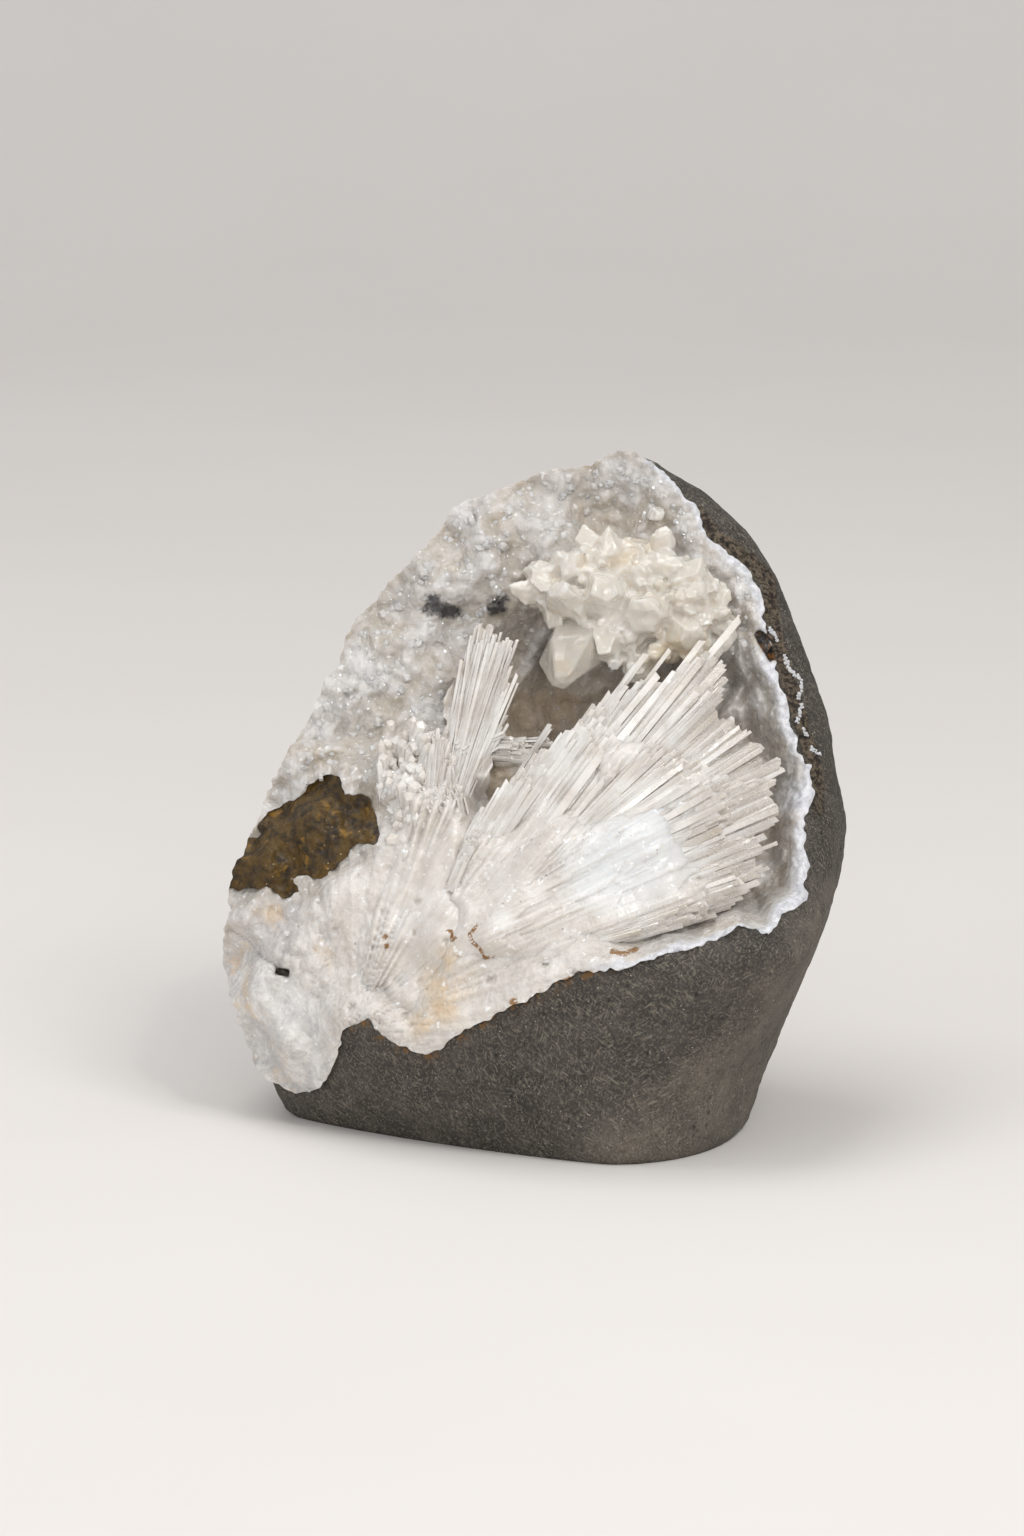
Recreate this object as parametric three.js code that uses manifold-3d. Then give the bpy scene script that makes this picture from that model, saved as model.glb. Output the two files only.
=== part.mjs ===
import * as THREE from 'three';
import { mergeVertices } from 'three/addons/utils/BufferGeometryUtils.js';
import Module from 'manifold-3d';

// A basalt geode broken open at the front. A crust of small quartz lines the hollow. A fan of
// scolecite blades and a smaller spray grow from its lower left, blocky cream crystals hang from its
// roof, and an olive-brown body is set into the crust at the left edge.
// Lengths are millimetres, +Z is up, and the broken face looks along -Y.

const wasm = await Module();
wasm.setup();

// Driving dimensions
// The broken face leans back by FACE_LEAN. Places on it are written [across, up, deep]: across from the
// middle of the stone, up along the leaning face, and deep behind the face plane (negative is nearer).
const FACE_LEAN = THREE.MathUtils.degToRad(12);
const GAP = 0.3; // clear space between neighbouring bodies
const CRUST_THICKNESS = 4;
const RIM_PROUD = 0.7; // how far the crust's broken edge stands out from the rock
const RIM_DROP = 2.5; // the most that the rim falls away behind the wall next to it
const RIM_WIDTH = 7; // over this width the crust turns from the rim into the wall of the hollow
const DEEPEST = 90; // beyond every body, for blocks that only cut
const PITCH = 6.3; // of the grids that the surfaces of the hollow are drawn on

// Level sections of the boulder, from the cut base to the top. Each is four arcs through its left, near,
// right and far points; roundness under 1 is squarer than an ellipse and over 1 is flatter.
const SECTIONS = [
  { z: 0, left: [-41, 6.5], near: [13, -27.3],
    right: [36, 6.5], far: [0, 34], nearLeft: 1.7, nearRight: 0.95 },
  { z: 6, left: [-44.5, 7.5], near: [14, -29],
    right: [38.5, 8], far: [0, 38], nearLeft: 1.5, nearRight: 1.05 },
  { z: 13, left: [-47.5, 11], near: [17, -30],
    right: [41.5, 10], far: [0, 42], nearLeft: 1.3, nearRight: 1.1 },
  { z: 25, left: [-50.5, 15.6], near: [23, -31],
    right: [46.3, 12.6], far: [0, 45.5], nearLeft: 1.1, nearRight: 0.95 },
  { z: 36, left: [-50, 18.5], near: [27, -30],
    right: [50.2, 14.5], far: [0, 48], nearLeft: 1.05, nearRight: 0.75 },
  { z: 42, left: [-48.5, 20.5], near: [22, -25],
    right: [52, 15.5], far: [1, 49], nearLeft: 1, nearRight: 0.85 },
  { z: 49, left: [-46, 23], near: [20, -18],
    right: [53, 16.5], far: [1, 50], nearLeft: 1, nearRight: 0.9 },
  { z: 60, left: [-39.5, 28.5], near: [18, -5],
    right: [51, 18], far: [2, 51], nearLeft: 1, nearRight: 0.9 },
  { z: 68, left: [-35.5, 31.5], near: [15, 4.5],
    right: [49.3, 20], far: [3, 51.5], nearLeft: 1, nearRight: 0.9 },
  { z: 77, left: [-30.5, 34.5], near: [12, 10],
    right: [46, 24], far: [4, 51], nearLeft: 1, nearRight: 0.9 },
  { z: 86, left: [-23.5, 38], near: [10, 16],
    right: [43, 28], far: [6, 50.5], nearLeft: 1, nearRight: 0.9 },
  { z: 95, left: [-15.5, 40.5], near: [10, 22],
    right: [37, 33], far: [8, 49], nearLeft: 1, nearRight: 0.9 },
  { z: 101, left: [-6, 41], near: [10, 27],
    right: [31, 35.5], far: [10, 47], nearLeft: 1, nearRight: 0.9 },
  { z: 107, left: [7, 40], near: [14, 33.5],
    right: [21.5, 38], far: [14, 43], nearLeft: 1, nearRight: 0.9 },
];
const FAR_ROUNDNESS = 0.92;
const ARC_STEPS = 8; // points on each of the four arcs of a section
const SWELL = 0.9; // height of the swells on the boulder's back

// The ragged right and lower rim of the crust, from the top clockwise to the lobe at the lower left
const RIM_OUTLINE = [
  [19, 113.2], [24, 109.5], [27.6, 105], [29, 101.7], [31, 99], [34.7, 95.8], [37, 94.2], [38.3, 90],
  [39.3, 84.6], [39.8, 79], [42.4, 73], [42.7, 68.5], [44.4, 65], [46.8, 61.5], [47, 56.5], [46, 52],
  [45.7, 45], [45.6, 38.5], [41.2, 36], [39, 32.7], [34, 34.4], [31.5, 33], [27.6, 31], [23, 30.3],
  [18, 28], [12, 27], [7, 26.6], [1, 23.7], [-6, 19.8], [-9, 18], [-13, 15.8], [-15.5, 13.2],
  [-17.6, 12.7], [-20.5, 13.2], [-23, 14.4], [-26.8, 16.8], [-28, 18.5], [-30.7, 17.6], [-32.4, 16.8],
  [-33.3, 11.2], [-34.2, 9], [-36, 6.6], [-38, 5.6], [-40.3, 5.6], [-42.7, 6.1], [-45, 8], [-47.8, 11.5],
];
// The left and top edges, where the crust itself is the edge of the stone, clockwise back to the top
const OPEN_EDGE_OUTLINE = [
  [-49.2, 15.4], [-51, 21], [-53, 28], [-51.6, 35.6], [-52, 40], [-49, 48.6], [-46, 55.3], [-44, 59.5],
  [-39.7, 66.4], [-37.5, 70.2], [-36, 74.6], [-33, 80], [-31, 85], [-25.5, 91], [-21.4, 95.3],
  [-17.6, 100.3], [-14.4, 104.7], [-11.4, 106.6], [-6, 108.6], [1, 111], [9.5, 112.4], [14, 114.7],
  [17, 114.6],
];
const CRUST_OUTLINE = [...RIM_OUTLINE, ...OPEN_EDGE_OUTLINE];

// Depths of the wall of the hollow at the places that give it its form
const LOBE = [
  [-34, 10, -7], [-38, 7, -4], [-43, 8, -2], [-48, 13, 1], [-40, 15, -9], [-44, 24, -7], [-37, 28, -11],
  [-52, 28, 4], [-47, 36, -3], [-28, 20, -14], [-31, 36, -12], [-23, 18, -19],
];
const LEFT_WALL = [
  [-51, 40, 3], [-44, 46, -3], [-48, 49, 4], [-36, 50, -6], [-45, 56, 7], [-38, 60, 3], [-30, 58, -3],
  [-37, 70, 10], [-29, 68, 6], [-32, 80, 12], [-24, 78, 8], [-16, 76, 8],
];
const TOP_WALL = [
  [-25, 90, 14], [-17, 90, 10], [-12, 84, 13], [-14, 104, 15], [-6, 100, 10], [0, 110, 14], [-4, 92, 10],
  [5, 97, 7], [12, 105, 14], [22, 101, 8], [11, 112, 13], [17, 113, 11],
];
const HOLLOW = [
  [-7, 74, 15], [-2, 70, 22], [4, 70, 25], [5, 76, 24], [11, 73, 22], [10, 82, 18], [-3, 80, 17],
  [18, 88, 9], [28, 90, 6], [33, 84, 5], [20, 78, 15], [28, 74, 9], [35, 68, 3], [38, 58, -1],
  [39, 49, -7], [36, 42, -13],
];
const UNDER_SPRAYS = [
  [14, 62, 8], [25, 58, 0], [5, 52, -6], [15, 44, -14], [28, 44, -13], [20, 38, -22], [0, 39, -22],
  [-12, 38, -20], [-20, 30, -17], [-14, 46, -13], [-22, 44, -12], [-22, 56, -7], [-16, 62, -1],
  [-10, 68, 5], [-5, 62, 6],
];
const MASSIVE_FOOT = [
  [8, 30, -31.5], [1, 29, -31], [-5, 31, -29], [-6, 25, -30], [-11, 29, -27.5], [-12, 21, -28], [-17, 17, -26],
];
const WALL_PLACES = [
  ...LOBE, ...LEFT_WALL, ...TOP_WALL, ...HOLLOW, ...UNDER_SPRAYS, ...MASSIVE_FOOT,
];
const SOFTNESS = 2.5; // rounds a form around each of its places

// The big fan: where its blades come from, how far they reach at each angle over level, and how they lie
const FAN_ROOT = [-13, 33];
const FAN_REACH = [
  [0, 32], [5, 43], [8, 50], [13, 52.5], [20, 56], [28, 61], [34, 59], [40, 57], [45, 65], [48, 66],
  [51, 54], [56, 50], [63, 35], [74, 24], [86, 13],
];
const FAN_SLANT = [[0, 15], [8, 18], [28, 27], [47, 50], [60, 56], [86, 66]];
const FAN_LAYERS = [
  { blades: 17, from: 1, to: 86, reach: 1, lift: 0, width: 3.4 },
  { blades: 7, from: 5, to: 66, reach: 0.86, lift: 1.6, width: 4.2 },
  { blades: 5, from: 8, to: 50, reach: 0.7, lift: 2.8, width: 5.6 },
];
const FAN_CORE_REACH = 0.8;
const BLADE_SHARE = 0.5; // length of a fan blade that shows, as a share of the fan's reach there
const FAN_PLACES = [
  [-13, 33, -24], [-12, 44, -19], [-5, 56, -13], [5, 62, -11], [14, 72, -8], [24, 76, -7], [32, 82, -5],
  [30, 70, -11], [36, 66, -11], [42, 62, -11], [39, 53, -17], [38, 45, -21], [35, 39, -25],
  [25, 35, -31], [12, 33, -31], [0, 33, -28], [5, 45, -26], [18, 47, -28], [28, 52, -23], [15, 60, -17],
];

// The fibrous mass left of the fan, and the spray that rises from it over the hollow
const MASS_OUTLINE = [
  [-26.5, 19.5], [-31, 22], [-31.5, 32], [-28, 39], [-25, 44], [-24.5, 62], [-21, 60], [-17, 63], [-13, 70],
  [-8, 71], [-5, 66], [-8, 58], [-9, 46], [-8, 34], [-10, 24], [-18, 16],
];
const MASS_PLACES = [
  [-31, 22, -15], [-31, 31, -13.5], [-26, 40, -15], [-25, 52, -10], [-24, 62, -5], [-18, 52, -13],
  [-16, 62, -8], [-8, 68, -4], [-12, 46, -18], [-12, 32, -25], [-18, 20, -22], [-24, 28, -18],
];
const SPRAYS = [
  { root: [-29, 21], blades: 5, from: 56, to: 82, length: [34, 45], width: 3.4, start: -15, end: -9 },
  { root: [-16, 47], blades: 5, from: 69, to: 80, length: [30, 38], width: 2.8, start: -16, end: -3 },
  { root: [-11, 65], blades: 3, from: -14, to: 14, length: [9, 13], width: 2.6, start: -7, end: -8 },
];

// The cream crystals over the hollow: each from its root in the cluster to its tip
const CLUSTER_OUTLINE = [
  [-1, 93], [4, 97], [9, 97], [14, 99], [22, 97], [29, 94], [33, 89], [33.5, 84], [29, 80], [19, 77.5],
  [14, 80], [8, 81], [2, 85],
];
const CLUSTER_PLACES = [
  [2, 90, 4], [6, 85, 3], [12, 86, 0], [10, 93, 1], [20, 86, -1], [26, 88, -1], [32, 86, 2], [24, 82, 1],
  [22, 94, 3], [14, 97, 5],
];
const CLUSTER_CRYSTALS = [
  { root: [9, 87, 9], tip: [4.8, 74.3, -3], radius: 6.6, flat: 0.2 },
  { root: [13, 91, 7], tip: [12.2, 79.8, -2], radius: 3.3, flat: 0.6 },
  { root: [7, 89, 8], tip: [-3.6, 91.5, 5], radius: 2.8, flat: 0.3 },
  { root: [8, 86, 10], tip: [4, 91, -2], radius: 5, flat: 0.5 },
  { root: [13, 89, 9], tip: [12, 91, -4.5], radius: 5, flat: 0.5 },
  { root: [13, 93, 7], tip: [12.4, 101.5, 2], radius: 3.4, flat: 0.1 },
  { root: [14, 94, 7], tip: [25, 95.5, 0], radius: 2.8, flat: 0.3 },
  { root: [19, 90, 7], tip: [28.6, 93.6, 0], radius: 3.6, flat: 0.8 },
  { root: [19, 86, 9], tip: [18.5, 86.5, -4.5], radius: 5.4, flat: 0.6 },
  { root: [23, 84, 8], tip: [27, 82.5, -3], radius: 4.6, flat: 0.5 },
  { root: [19, 83, 8], tip: [18, 75.8, 0], radius: 2.4, flat: 0.6 },
  { root: [28, 87, 5], tip: [32.5, 86.5, -1], radius: 3.2, flat: 0.4 },
];

// The olive-brown body set into the crust at its left edge, clockwise
const PATCH_OUTLINE = [
  [-54, 44], [-50, 48.8], [-46.9, 48.6], [-46.6, 50.8], [-44.6, 53], [-42.4, 54.7], [-39.7, 55.6],
  [-37.8, 58], [-34.6, 59.2], [-32.7, 58], [-32.4, 55.9], [-29.3, 56], [-27.6, 54.7], [-26.3, 52.4],
  [-26.3, 48.3], [-30, 48.1], [-31.5, 46.3], [-33, 44.4], [-34.7, 42.5], [-37, 42], [-41.5, 42],
  [-39.8, 39.8], [-42, 39], [-45.4, 40.8], [-47.5, 41], [-50, 40.3], [-54, 40],
];
const PATCH_DEPTH = 1.8;
const PATCH_RECESS = 0.5;

// Small quartz crystals of the druse, over the upper wall and on the right of the fan
const DRUSE_ZONES = [
  { outline: [[-44, 62], [-34, 82], [-23, 96], [-12, 108], [0, 111], [14, 113], [8, 100], [-4, 98], [-8, 92],
    [-4, 86], [-6, 78], [-12, 74], [-22, 70], [-34, 63]], count: 26 },
  { outline: [[18, 112], [29, 102], [36, 94], [38, 84], [36.5, 82], [35, 90], [28, 99], [16, 103]],
    count: 7 },
  { outline: [[-2, 84], [0, 79], [2, 73], [-3, 70], [-7, 73], [-6, 82]], count: 4 },
];
const DRUSE_SPACING = 5.4;
const DRUSE_RADIUS = [1.6, 2.5];
const DRUSE_LEAN = 0.8;
const DRUSE_SINK = 1.6; // depth of a druse crystal's root below the wall's surface

// Gas bubbles left open in the rock: [across, up, radius]
const VESICLES = [
  [42, 82, 1.9], [46.5, 70, 1.4], [48, 63, 1.2], [49.5, 55, 1], [36, 98.5, 1.2], [10, 14, 0.9], [24, 22, 1.1],
  [-6, 8, 0.9], [34, 24, 0.9],
];

// Random numbers between 0 and 1 that are the same on every run
function seededRandom(seed) {
  let state = seed;
  return () => {
    state = (state * 1664525 + 1013904223) % 4294967296;
    return state / 4294967296;
  };
}

const lerp = THREE.MathUtils.lerp;
const radians = THREE.MathUtils.degToRad;

// Value at x on a chain of straight stretches between [x, value] knots
function along(knots, x) {
  let i = 1;
  while (i < knots.length - 1 && x > knots[i][0]) {
    i += 1;
  }
  const [x0, value0] = knots[i - 1];
  const [x1, value1] = knots[i];
  return lerp(value0, value1, THREE.MathUtils.clamp((x - x0) / (x1 - x0), 0, 1));
}

// Depth at a spot, from the places around it, each weighted by its nearness
function depthFrom(places, across, up) {
  let total = 0;
  let weights = 0;
  for (const [placeAcross, placeUp, deep] of places) {
    const squared = (across - placeAcross) ** 2 + (up - placeUp) ** 2 + SOFTNESS ** 2;
    const weight = 1 / (squared * squared);
    total += weight * deep;
    weights += weight;
  }
  return total / weights;
}

// A place on the leaning face as a point of the standing stone
function stand(across, up, deep) {
  const y = deep * Math.cos(FACE_LEAN) + up * Math.sin(FACE_LEAN);
  const z = up * Math.cos(FACE_LEAN) - deep * Math.sin(FACE_LEAN);
  return new THREE.Vector3(across, y, z);
}

// Solids and geometries
function geometryFrom(points, triangles) {
  const geometry = new THREE.BufferGeometry();
  geometry.setFromPoints(points);
  geometry.setIndex(triangles);
  return geometry;
}

function toSolid(source) {
  const bare = source.clone();
  bare.deleteAttribute('normal');
  bare.deleteAttribute('uv');
  const merged = mergeVertices(bare, 1e-5);
  return new wasm.Manifold(new wasm.Mesh({
    numProp: 3,
    vertProperties: new Float32Array(merged.attributes.position.array),
    triVerts: new Uint32Array(merged.index.array),
  }));
}

// The largest connected body, so that slivers cut loose are left out
function largestBody(solid) {
  const bodies = solid.decompose();
  bodies.sort((a, b) => b.volume() - a.volume());
  return bodies[0];
}

function joinAll(solids) {
  let waiting = solids;
  while (waiting.length > 1) {
    const joined = [];
    for (let i = 0; i < waiting.length; i += 2) {
      joined.push(i + 1 < waiting.length ? waiting[i].add(waiting[i + 1]) : waiting[i]);
    }
    waiting = joined;
  }
  return waiting[0];
}

function toMesh(name, solid, material) {
  const { vertProperties, triVerts, numProp } = largestBody(solid).getMesh();
  const points = [];
  for (let i = 0; i < vertProperties.length; i += numProp) {
    points.push(new THREE.Vector3(vertProperties[i], vertProperties[i + 1], vertProperties[i + 2]));
  }
  const geometry = geometryFrom(points, Array.from(triVerts));
  geometry.computeVertexNormals();
  const mesh = new THREE.Mesh(geometry, material);
  mesh.name = name;
  return mesh;
}

// Block over the whole face between two depth functions, on a square grid
function faceBlock(nearDepth, farDepth, pitch) {
  const [left, right, low, high] = [-57, 57, -3, 119];
  const columns = Math.round((right - left) / pitch);
  const rows = Math.round((high - low) / pitch);
  const points = [];
  for (const depth of [nearDepth, farDepth]) {
    for (let row = 0; row <= rows; row += 1) {
      for (let column = 0; column <= columns; column += 1) {
        const across = lerp(left, right, column / columns);
        const up = lerp(low, high, row / rows);
        points.push(stand(across, up, depth(across, up)));
      }
    }
  }
  const layer = (columns + 1) * (rows + 1);
  const at = (column, row, side) => side * layer + row * (columns + 1) + column;
  const triangles = [];
  const quad = (a, b, c, d) => triangles.push(a, b, c, a, c, d);
  for (let row = 0; row < rows; row += 1) {
    for (let column = 0; column < columns; column += 1) {
      quad(at(column, row, 0), at(column + 1, row, 0), at(column + 1, row + 1, 0), at(column, row + 1, 0));
      quad(at(column, row, 1), at(column, row + 1, 1), at(column + 1, row + 1, 1), at(column + 1, row, 1));
    }
  }
  for (let column = 0; column < columns; column += 1) {
    quad(at(column, 0, 0), at(column, 0, 1), at(column + 1, 0, 1), at(column + 1, 0, 0));
    quad(at(column, rows, 0), at(column + 1, rows, 0), at(column + 1, rows, 1), at(column, rows, 1));
  }
  for (let row = 0; row < rows; row += 1) {
    quad(at(0, row, 0), at(0, row + 1, 0), at(0, row + 1, 1), at(0, row, 1));
    quad(at(columns, row, 0), at(columns, row, 1), at(columns, row + 1, 1), at(columns, row + 1, 0));
  }
  return toSolid(geometryFrom(points, triangles));
}

// An outline grown outwards by a margin, point by point
function grown(outline, margin) {
  const count = outline.length;
  return outline.map(([across, up], i) => {
    const before = outline[(i + count - 1) % count];
    const after = outline[(i + 1) % count];
    const side = new THREE.Vector2(before[1] - after[1], after[0] - before[0]).normalize();
    return [across + side.x * margin, up + side.y * margin];
  });
}

// Straight prism of an outline through the whole depth of the stone
function facePrism(outline) {
  const shape = new THREE.Shape(outline.map(([across, up]) => new THREE.Vector2(across, up)));
  const prism = new THREE.ExtrudeGeometry(shape, { depth: 2 * DEEPEST, bevelEnabled: false });
  const position = prism.attributes.position;
  for (let i = 0; i < position.count; i += 1) {
    const point = stand(position.getX(i), position.getY(i), DEEPEST - position.getZ(i));
    position.setXYZ(i, point.x, point.y, point.z);
  }
  return toSolid(prism);
}

// Boulder
// The section at any height, between the two stated sections around it
function sectionAt(z) {
  let i = 1;
  while (i < SECTIONS.length - 1 && z > SECTIONS[i].z) {
    i += 1;
  }
  const low = SECTIONS[i - 1];
  const high = SECTIONS[i];
  const t = THREE.MathUtils.clamp((z - low.z) / (high.z - low.z), 0, 1);
  const mixed = {};
  for (const side of ['left', 'near', 'right', 'far']) {
    mixed[side] = [lerp(low[side][0], high[side][0], t), lerp(low[side][1], high[side][1], t)];
  }
  mixed.nearLeft = lerp(low.nearLeft, high.nearLeft, t);
  mixed.nearRight = lerp(low.nearRight, high.nearRight, t);
  return mixed;
}

// True where a point in front of the boulder's widest line lies inside its section
function insideFront(x, y, z) {
  const section = sectionAt(z);
  const onRight = x > section.near[0];
  const side = onRight ? section.right : section.left;
  const roundness = onRight ? section.nearRight : section.nearLeft;
  const acrossShare = Math.abs((x - section.near[0]) / (side[0] - section.near[0]));
  const nearShare = Math.max(0, (side[1] - y) / (side[1] - section.near[1]));
  return acrossShare ** (2 / roundness) + nearShare ** (2 / roundness) < 1;
}

// Depth of the boulder's unbroken front at a spot on the face
function rockDepth(across, up) {
  const STEP = 1;
  const LAST = 40;
  let deep = -60;
  let point = stand(across, up, deep);
  while (deep < LAST && (point.z < 0 || !insideFront(point.x, point.y, point.z))) {
    deep += STEP;
    point = stand(across, up, deep);
  }
  let outside = deep - STEP;
  for (let halving = 0; halving < 8; halving += 1) {
    const middle = (outside + deep) / 2;
    point = stand(across, up, middle);
    if (insideFront(point.x, point.y, point.z)) {
      deep = middle;
    } else {
      outside = middle;
    }
  }
  return deep;
}

// Low swells and hollows of the boulder's back, which die out towards its sides
function backSwell(turn, arc, z) {
  const round = arc === 2 ? turn : Math.PI - turn;
  const waves = Math.sin(2.6 * round + z / 13) + 0.7 * Math.cos(4.1 * round - z / 9);
  return SWELL * waves * Math.sin(turn) ** 2;
}

function boulder() {
  const points = [];
  const spokes = 4 * ARC_STEPS;
  for (const { z, left, near, right, far, nearLeft, nearRight } of SECTIONS) {
    const arcs = [
      [left, near, nearLeft],
      [right, near, nearRight],
      [right, far, FAR_ROUNDNESS],
      [left, far, FAR_ROUNDNESS],
    ];
    arcs.forEach(([side, end, roundness], arc) => {
      for (let step = 0; step < ARC_STEPS; step += 1) {
        const share = step / ARC_STEPS;
        const turn = (arc % 2 === 0 ? share : 1 - share) * (Math.PI / 2);
        const swell = arc < 2 ? 0 : backSwell(turn, arc, z);
        const x = end[0] + (side[0] - end[0]) * Math.cos(turn) ** roundness;
        const y = side[1] + (end[1] - side[1]) * Math.sin(turn) ** roundness + swell;
        points.push(new THREE.Vector3(x, y, z));
      }
    });
  }
  const triangles = [];
  const at = (ring, spoke) => ring * spokes + (spoke % spokes);
  for (let ring = 0; ring < SECTIONS.length - 1; ring += 1) {
    for (let spoke = 0; spoke < spokes; spoke += 1) {
      triangles.push(at(ring, spoke), at(ring, spoke + 1), at(ring + 1, spoke + 1));
      triangles.push(at(ring, spoke), at(ring + 1, spoke + 1), at(ring + 1, spoke));
    }
  }
  const middleOf = ({ near, far, z }) => new THREE.Vector3((near[0] + far[0]) / 2, (near[1] + far[1]) / 2, z);
  const bottom = points.push(middleOf(SECTIONS[0])) - 1;
  const summit = middleOf(SECTIONS[SECTIONS.length - 1]);
  summit.z += 1.5;
  const top = points.push(summit) - 1;
  for (let spoke = 0; spoke < spokes; spoke += 1) {
    triangles.push(bottom, at(0, spoke + 1), at(0, spoke));
    triangles.push(top, at(SECTIONS.length - 1, spoke), at(SECTIONS.length - 1, spoke + 1));
  }
  return toSolid(geometryFrom(points, triangles));
}

// Crust
function distanceToRim(across, up) {
  const spot = new THREE.Vector3(across, up, 0);
  const nearest = new THREE.Vector3();
  let best = Infinity;
  for (let i = 1; i < RIM_OUTLINE.length; i += 1) {
    const start = new THREE.Vector3(...RIM_OUTLINE[i - 1], 0);
    const end = new THREE.Vector3(...RIM_OUTLINE[i], 0);
    new THREE.Line3(start, end).closestPointToPoint(spot, true, nearest);
    best = Math.min(best, nearest.distanceTo(spot));
  }
  return best;
}

// Depth of the crust's surface: flush with the rock along the rim, and the wall of the hollow inside it
function crustDepth(across, up) {
  const wall = depthFrom(WALL_PLACES, across, up);
  const inward = THREE.MathUtils.smoothstep(distanceToRim(across, up), 0, RIM_WIDTH);
  if (inward === 1) {
    return wall;
  }
  const rim = Math.min(rockDepth(across, up) - RIM_PROUD, wall + RIM_DROP);
  return lerp(rim, wall, inward);
}

// Blades
// A flat blade from start to end, narrower at its start and cut slantwise at its end
function blade(start, end, width, thickness, roll, slant) {
  const direction = new THREE.Vector3().subVectors(end, start);
  const length = direction.length();
  direction.normalize();
  const towardsViewer = new THREE.Vector3(0, -1, 0);
  const side = new THREE.Vector3().crossVectors(direction, towardsViewer).normalize();
  side.applyAxisAngle(direction, roll);
  const flat = new THREE.Vector3().crossVectors(side, direction);
  const box = new THREE.BoxGeometry(width, length, thickness);
  const position = box.attributes.position;
  for (let i = 0; i < position.count; i += 1) {
    if (position.getY(i) < 0) {
      position.setX(i, position.getX(i) * 0.6);
      position.setZ(i, position.getZ(i) * 0.6);
    } else if (position.getX(i) * slant > 0) {
      position.setY(i, position.getY(i) - width * Math.abs(slant));
    }
  }
  box.translate(0, length / 2, 0);
  box.applyMatrix4(new THREE.Matrix4().makeBasis(side, direction, flat).setPosition(start));
  return toSolid(box);
}

function fanTip(angle, share) {
  const reach = along(FAN_REACH, angle) * share;
  return [FAN_ROOT[0] + reach * Math.cos(radians(angle)), FAN_ROOT[1] + reach * Math.sin(radians(angle))];
}

function fanDepth(across, up) {
  return depthFrom(FAN_PLACES, across, up);
}

function fanBlades() {
  const random = seededRandom(11);
  const blades = [];
  for (const { blades: count, from, to, reach, lift, width } of FAN_LAYERS) {
    for (let i = 0; i < count; i += 1) {
      const angle = lerp(from, to, (i + 0.5) / count);
      const [across, up] = fanTip(angle, reach * lerp(0.94, 1.02, random()));
      const slant = radians(along(FAN_SLANT, angle));
      const length = along(FAN_REACH, angle) * BLADE_SHARE;
      const startAcross = across - length * Math.cos(slant);
      const startUp = up - length * Math.sin(slant);
      const start = stand(startAcross, startUp, fanDepth(startAcross, startUp) + 1.5 - lift);
      const end = stand(across, up, fanDepth(across, up) - lift * 0.6 + lerp(-0.8, 0.8, random()));
      const roll = lerp(-0.5, 0.5, random());
      const chisel = lerp(-0.9, 0.9, random());
      blades.push(blade(start, end, width * lerp(0.85, 1.15, random()), 2.2, roll, chisel));
    }
  }
  return blades;
}

function fanCore() {
  const outline = [FAN_ROOT];
  for (const [angle] of [...FAN_REACH].reverse()) {
    outline.push(fanTip(angle, FAN_CORE_REACH));
  }
  const near = (across, up) => fanDepth(across, up) + 0.4;
  const far = (across, up) => Math.max(near(across, up) + 4, crustDepth(across, up) + 2);
  return faceBlock(near, far, PITCH).intersect(facePrism(outline));
}

function massCore() {
  const near = (across, up) => depthFrom(MASS_PLACES, across, up);
  const far = (across, up) => Math.max(near(across, up) + 4, crustDepth(across, up) + 2);
  return faceBlock(near, far, PITCH).intersect(facePrism(MASS_OUTLINE));
}

function sprayBlades() {
  const random = seededRandom(29);
  const blades = [];
  for (const { root, blades: count, from, to, length, width, start, end } of SPRAYS) {
    for (let i = 0; i < count; i += 1) {
      const angle = radians(lerp(from, to, (i + 0.5) / count));
      const reach = lerp(length[0], length[1], random());
      const tipAcross = root[0] + reach * Math.cos(angle);
      const tipUp = root[1] + reach * Math.sin(angle);
      const foot = stand(root[0], root[1], start);
      const tip = stand(tipAcross, tipUp, end + lerp(-1, 1, random()));
      blades.push(blade(foot, tip, width, 2, lerp(-0.5, 0.5, random()), lerp(-0.9, 0.9, random())));
    }
  }
  return blades;
}

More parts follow.
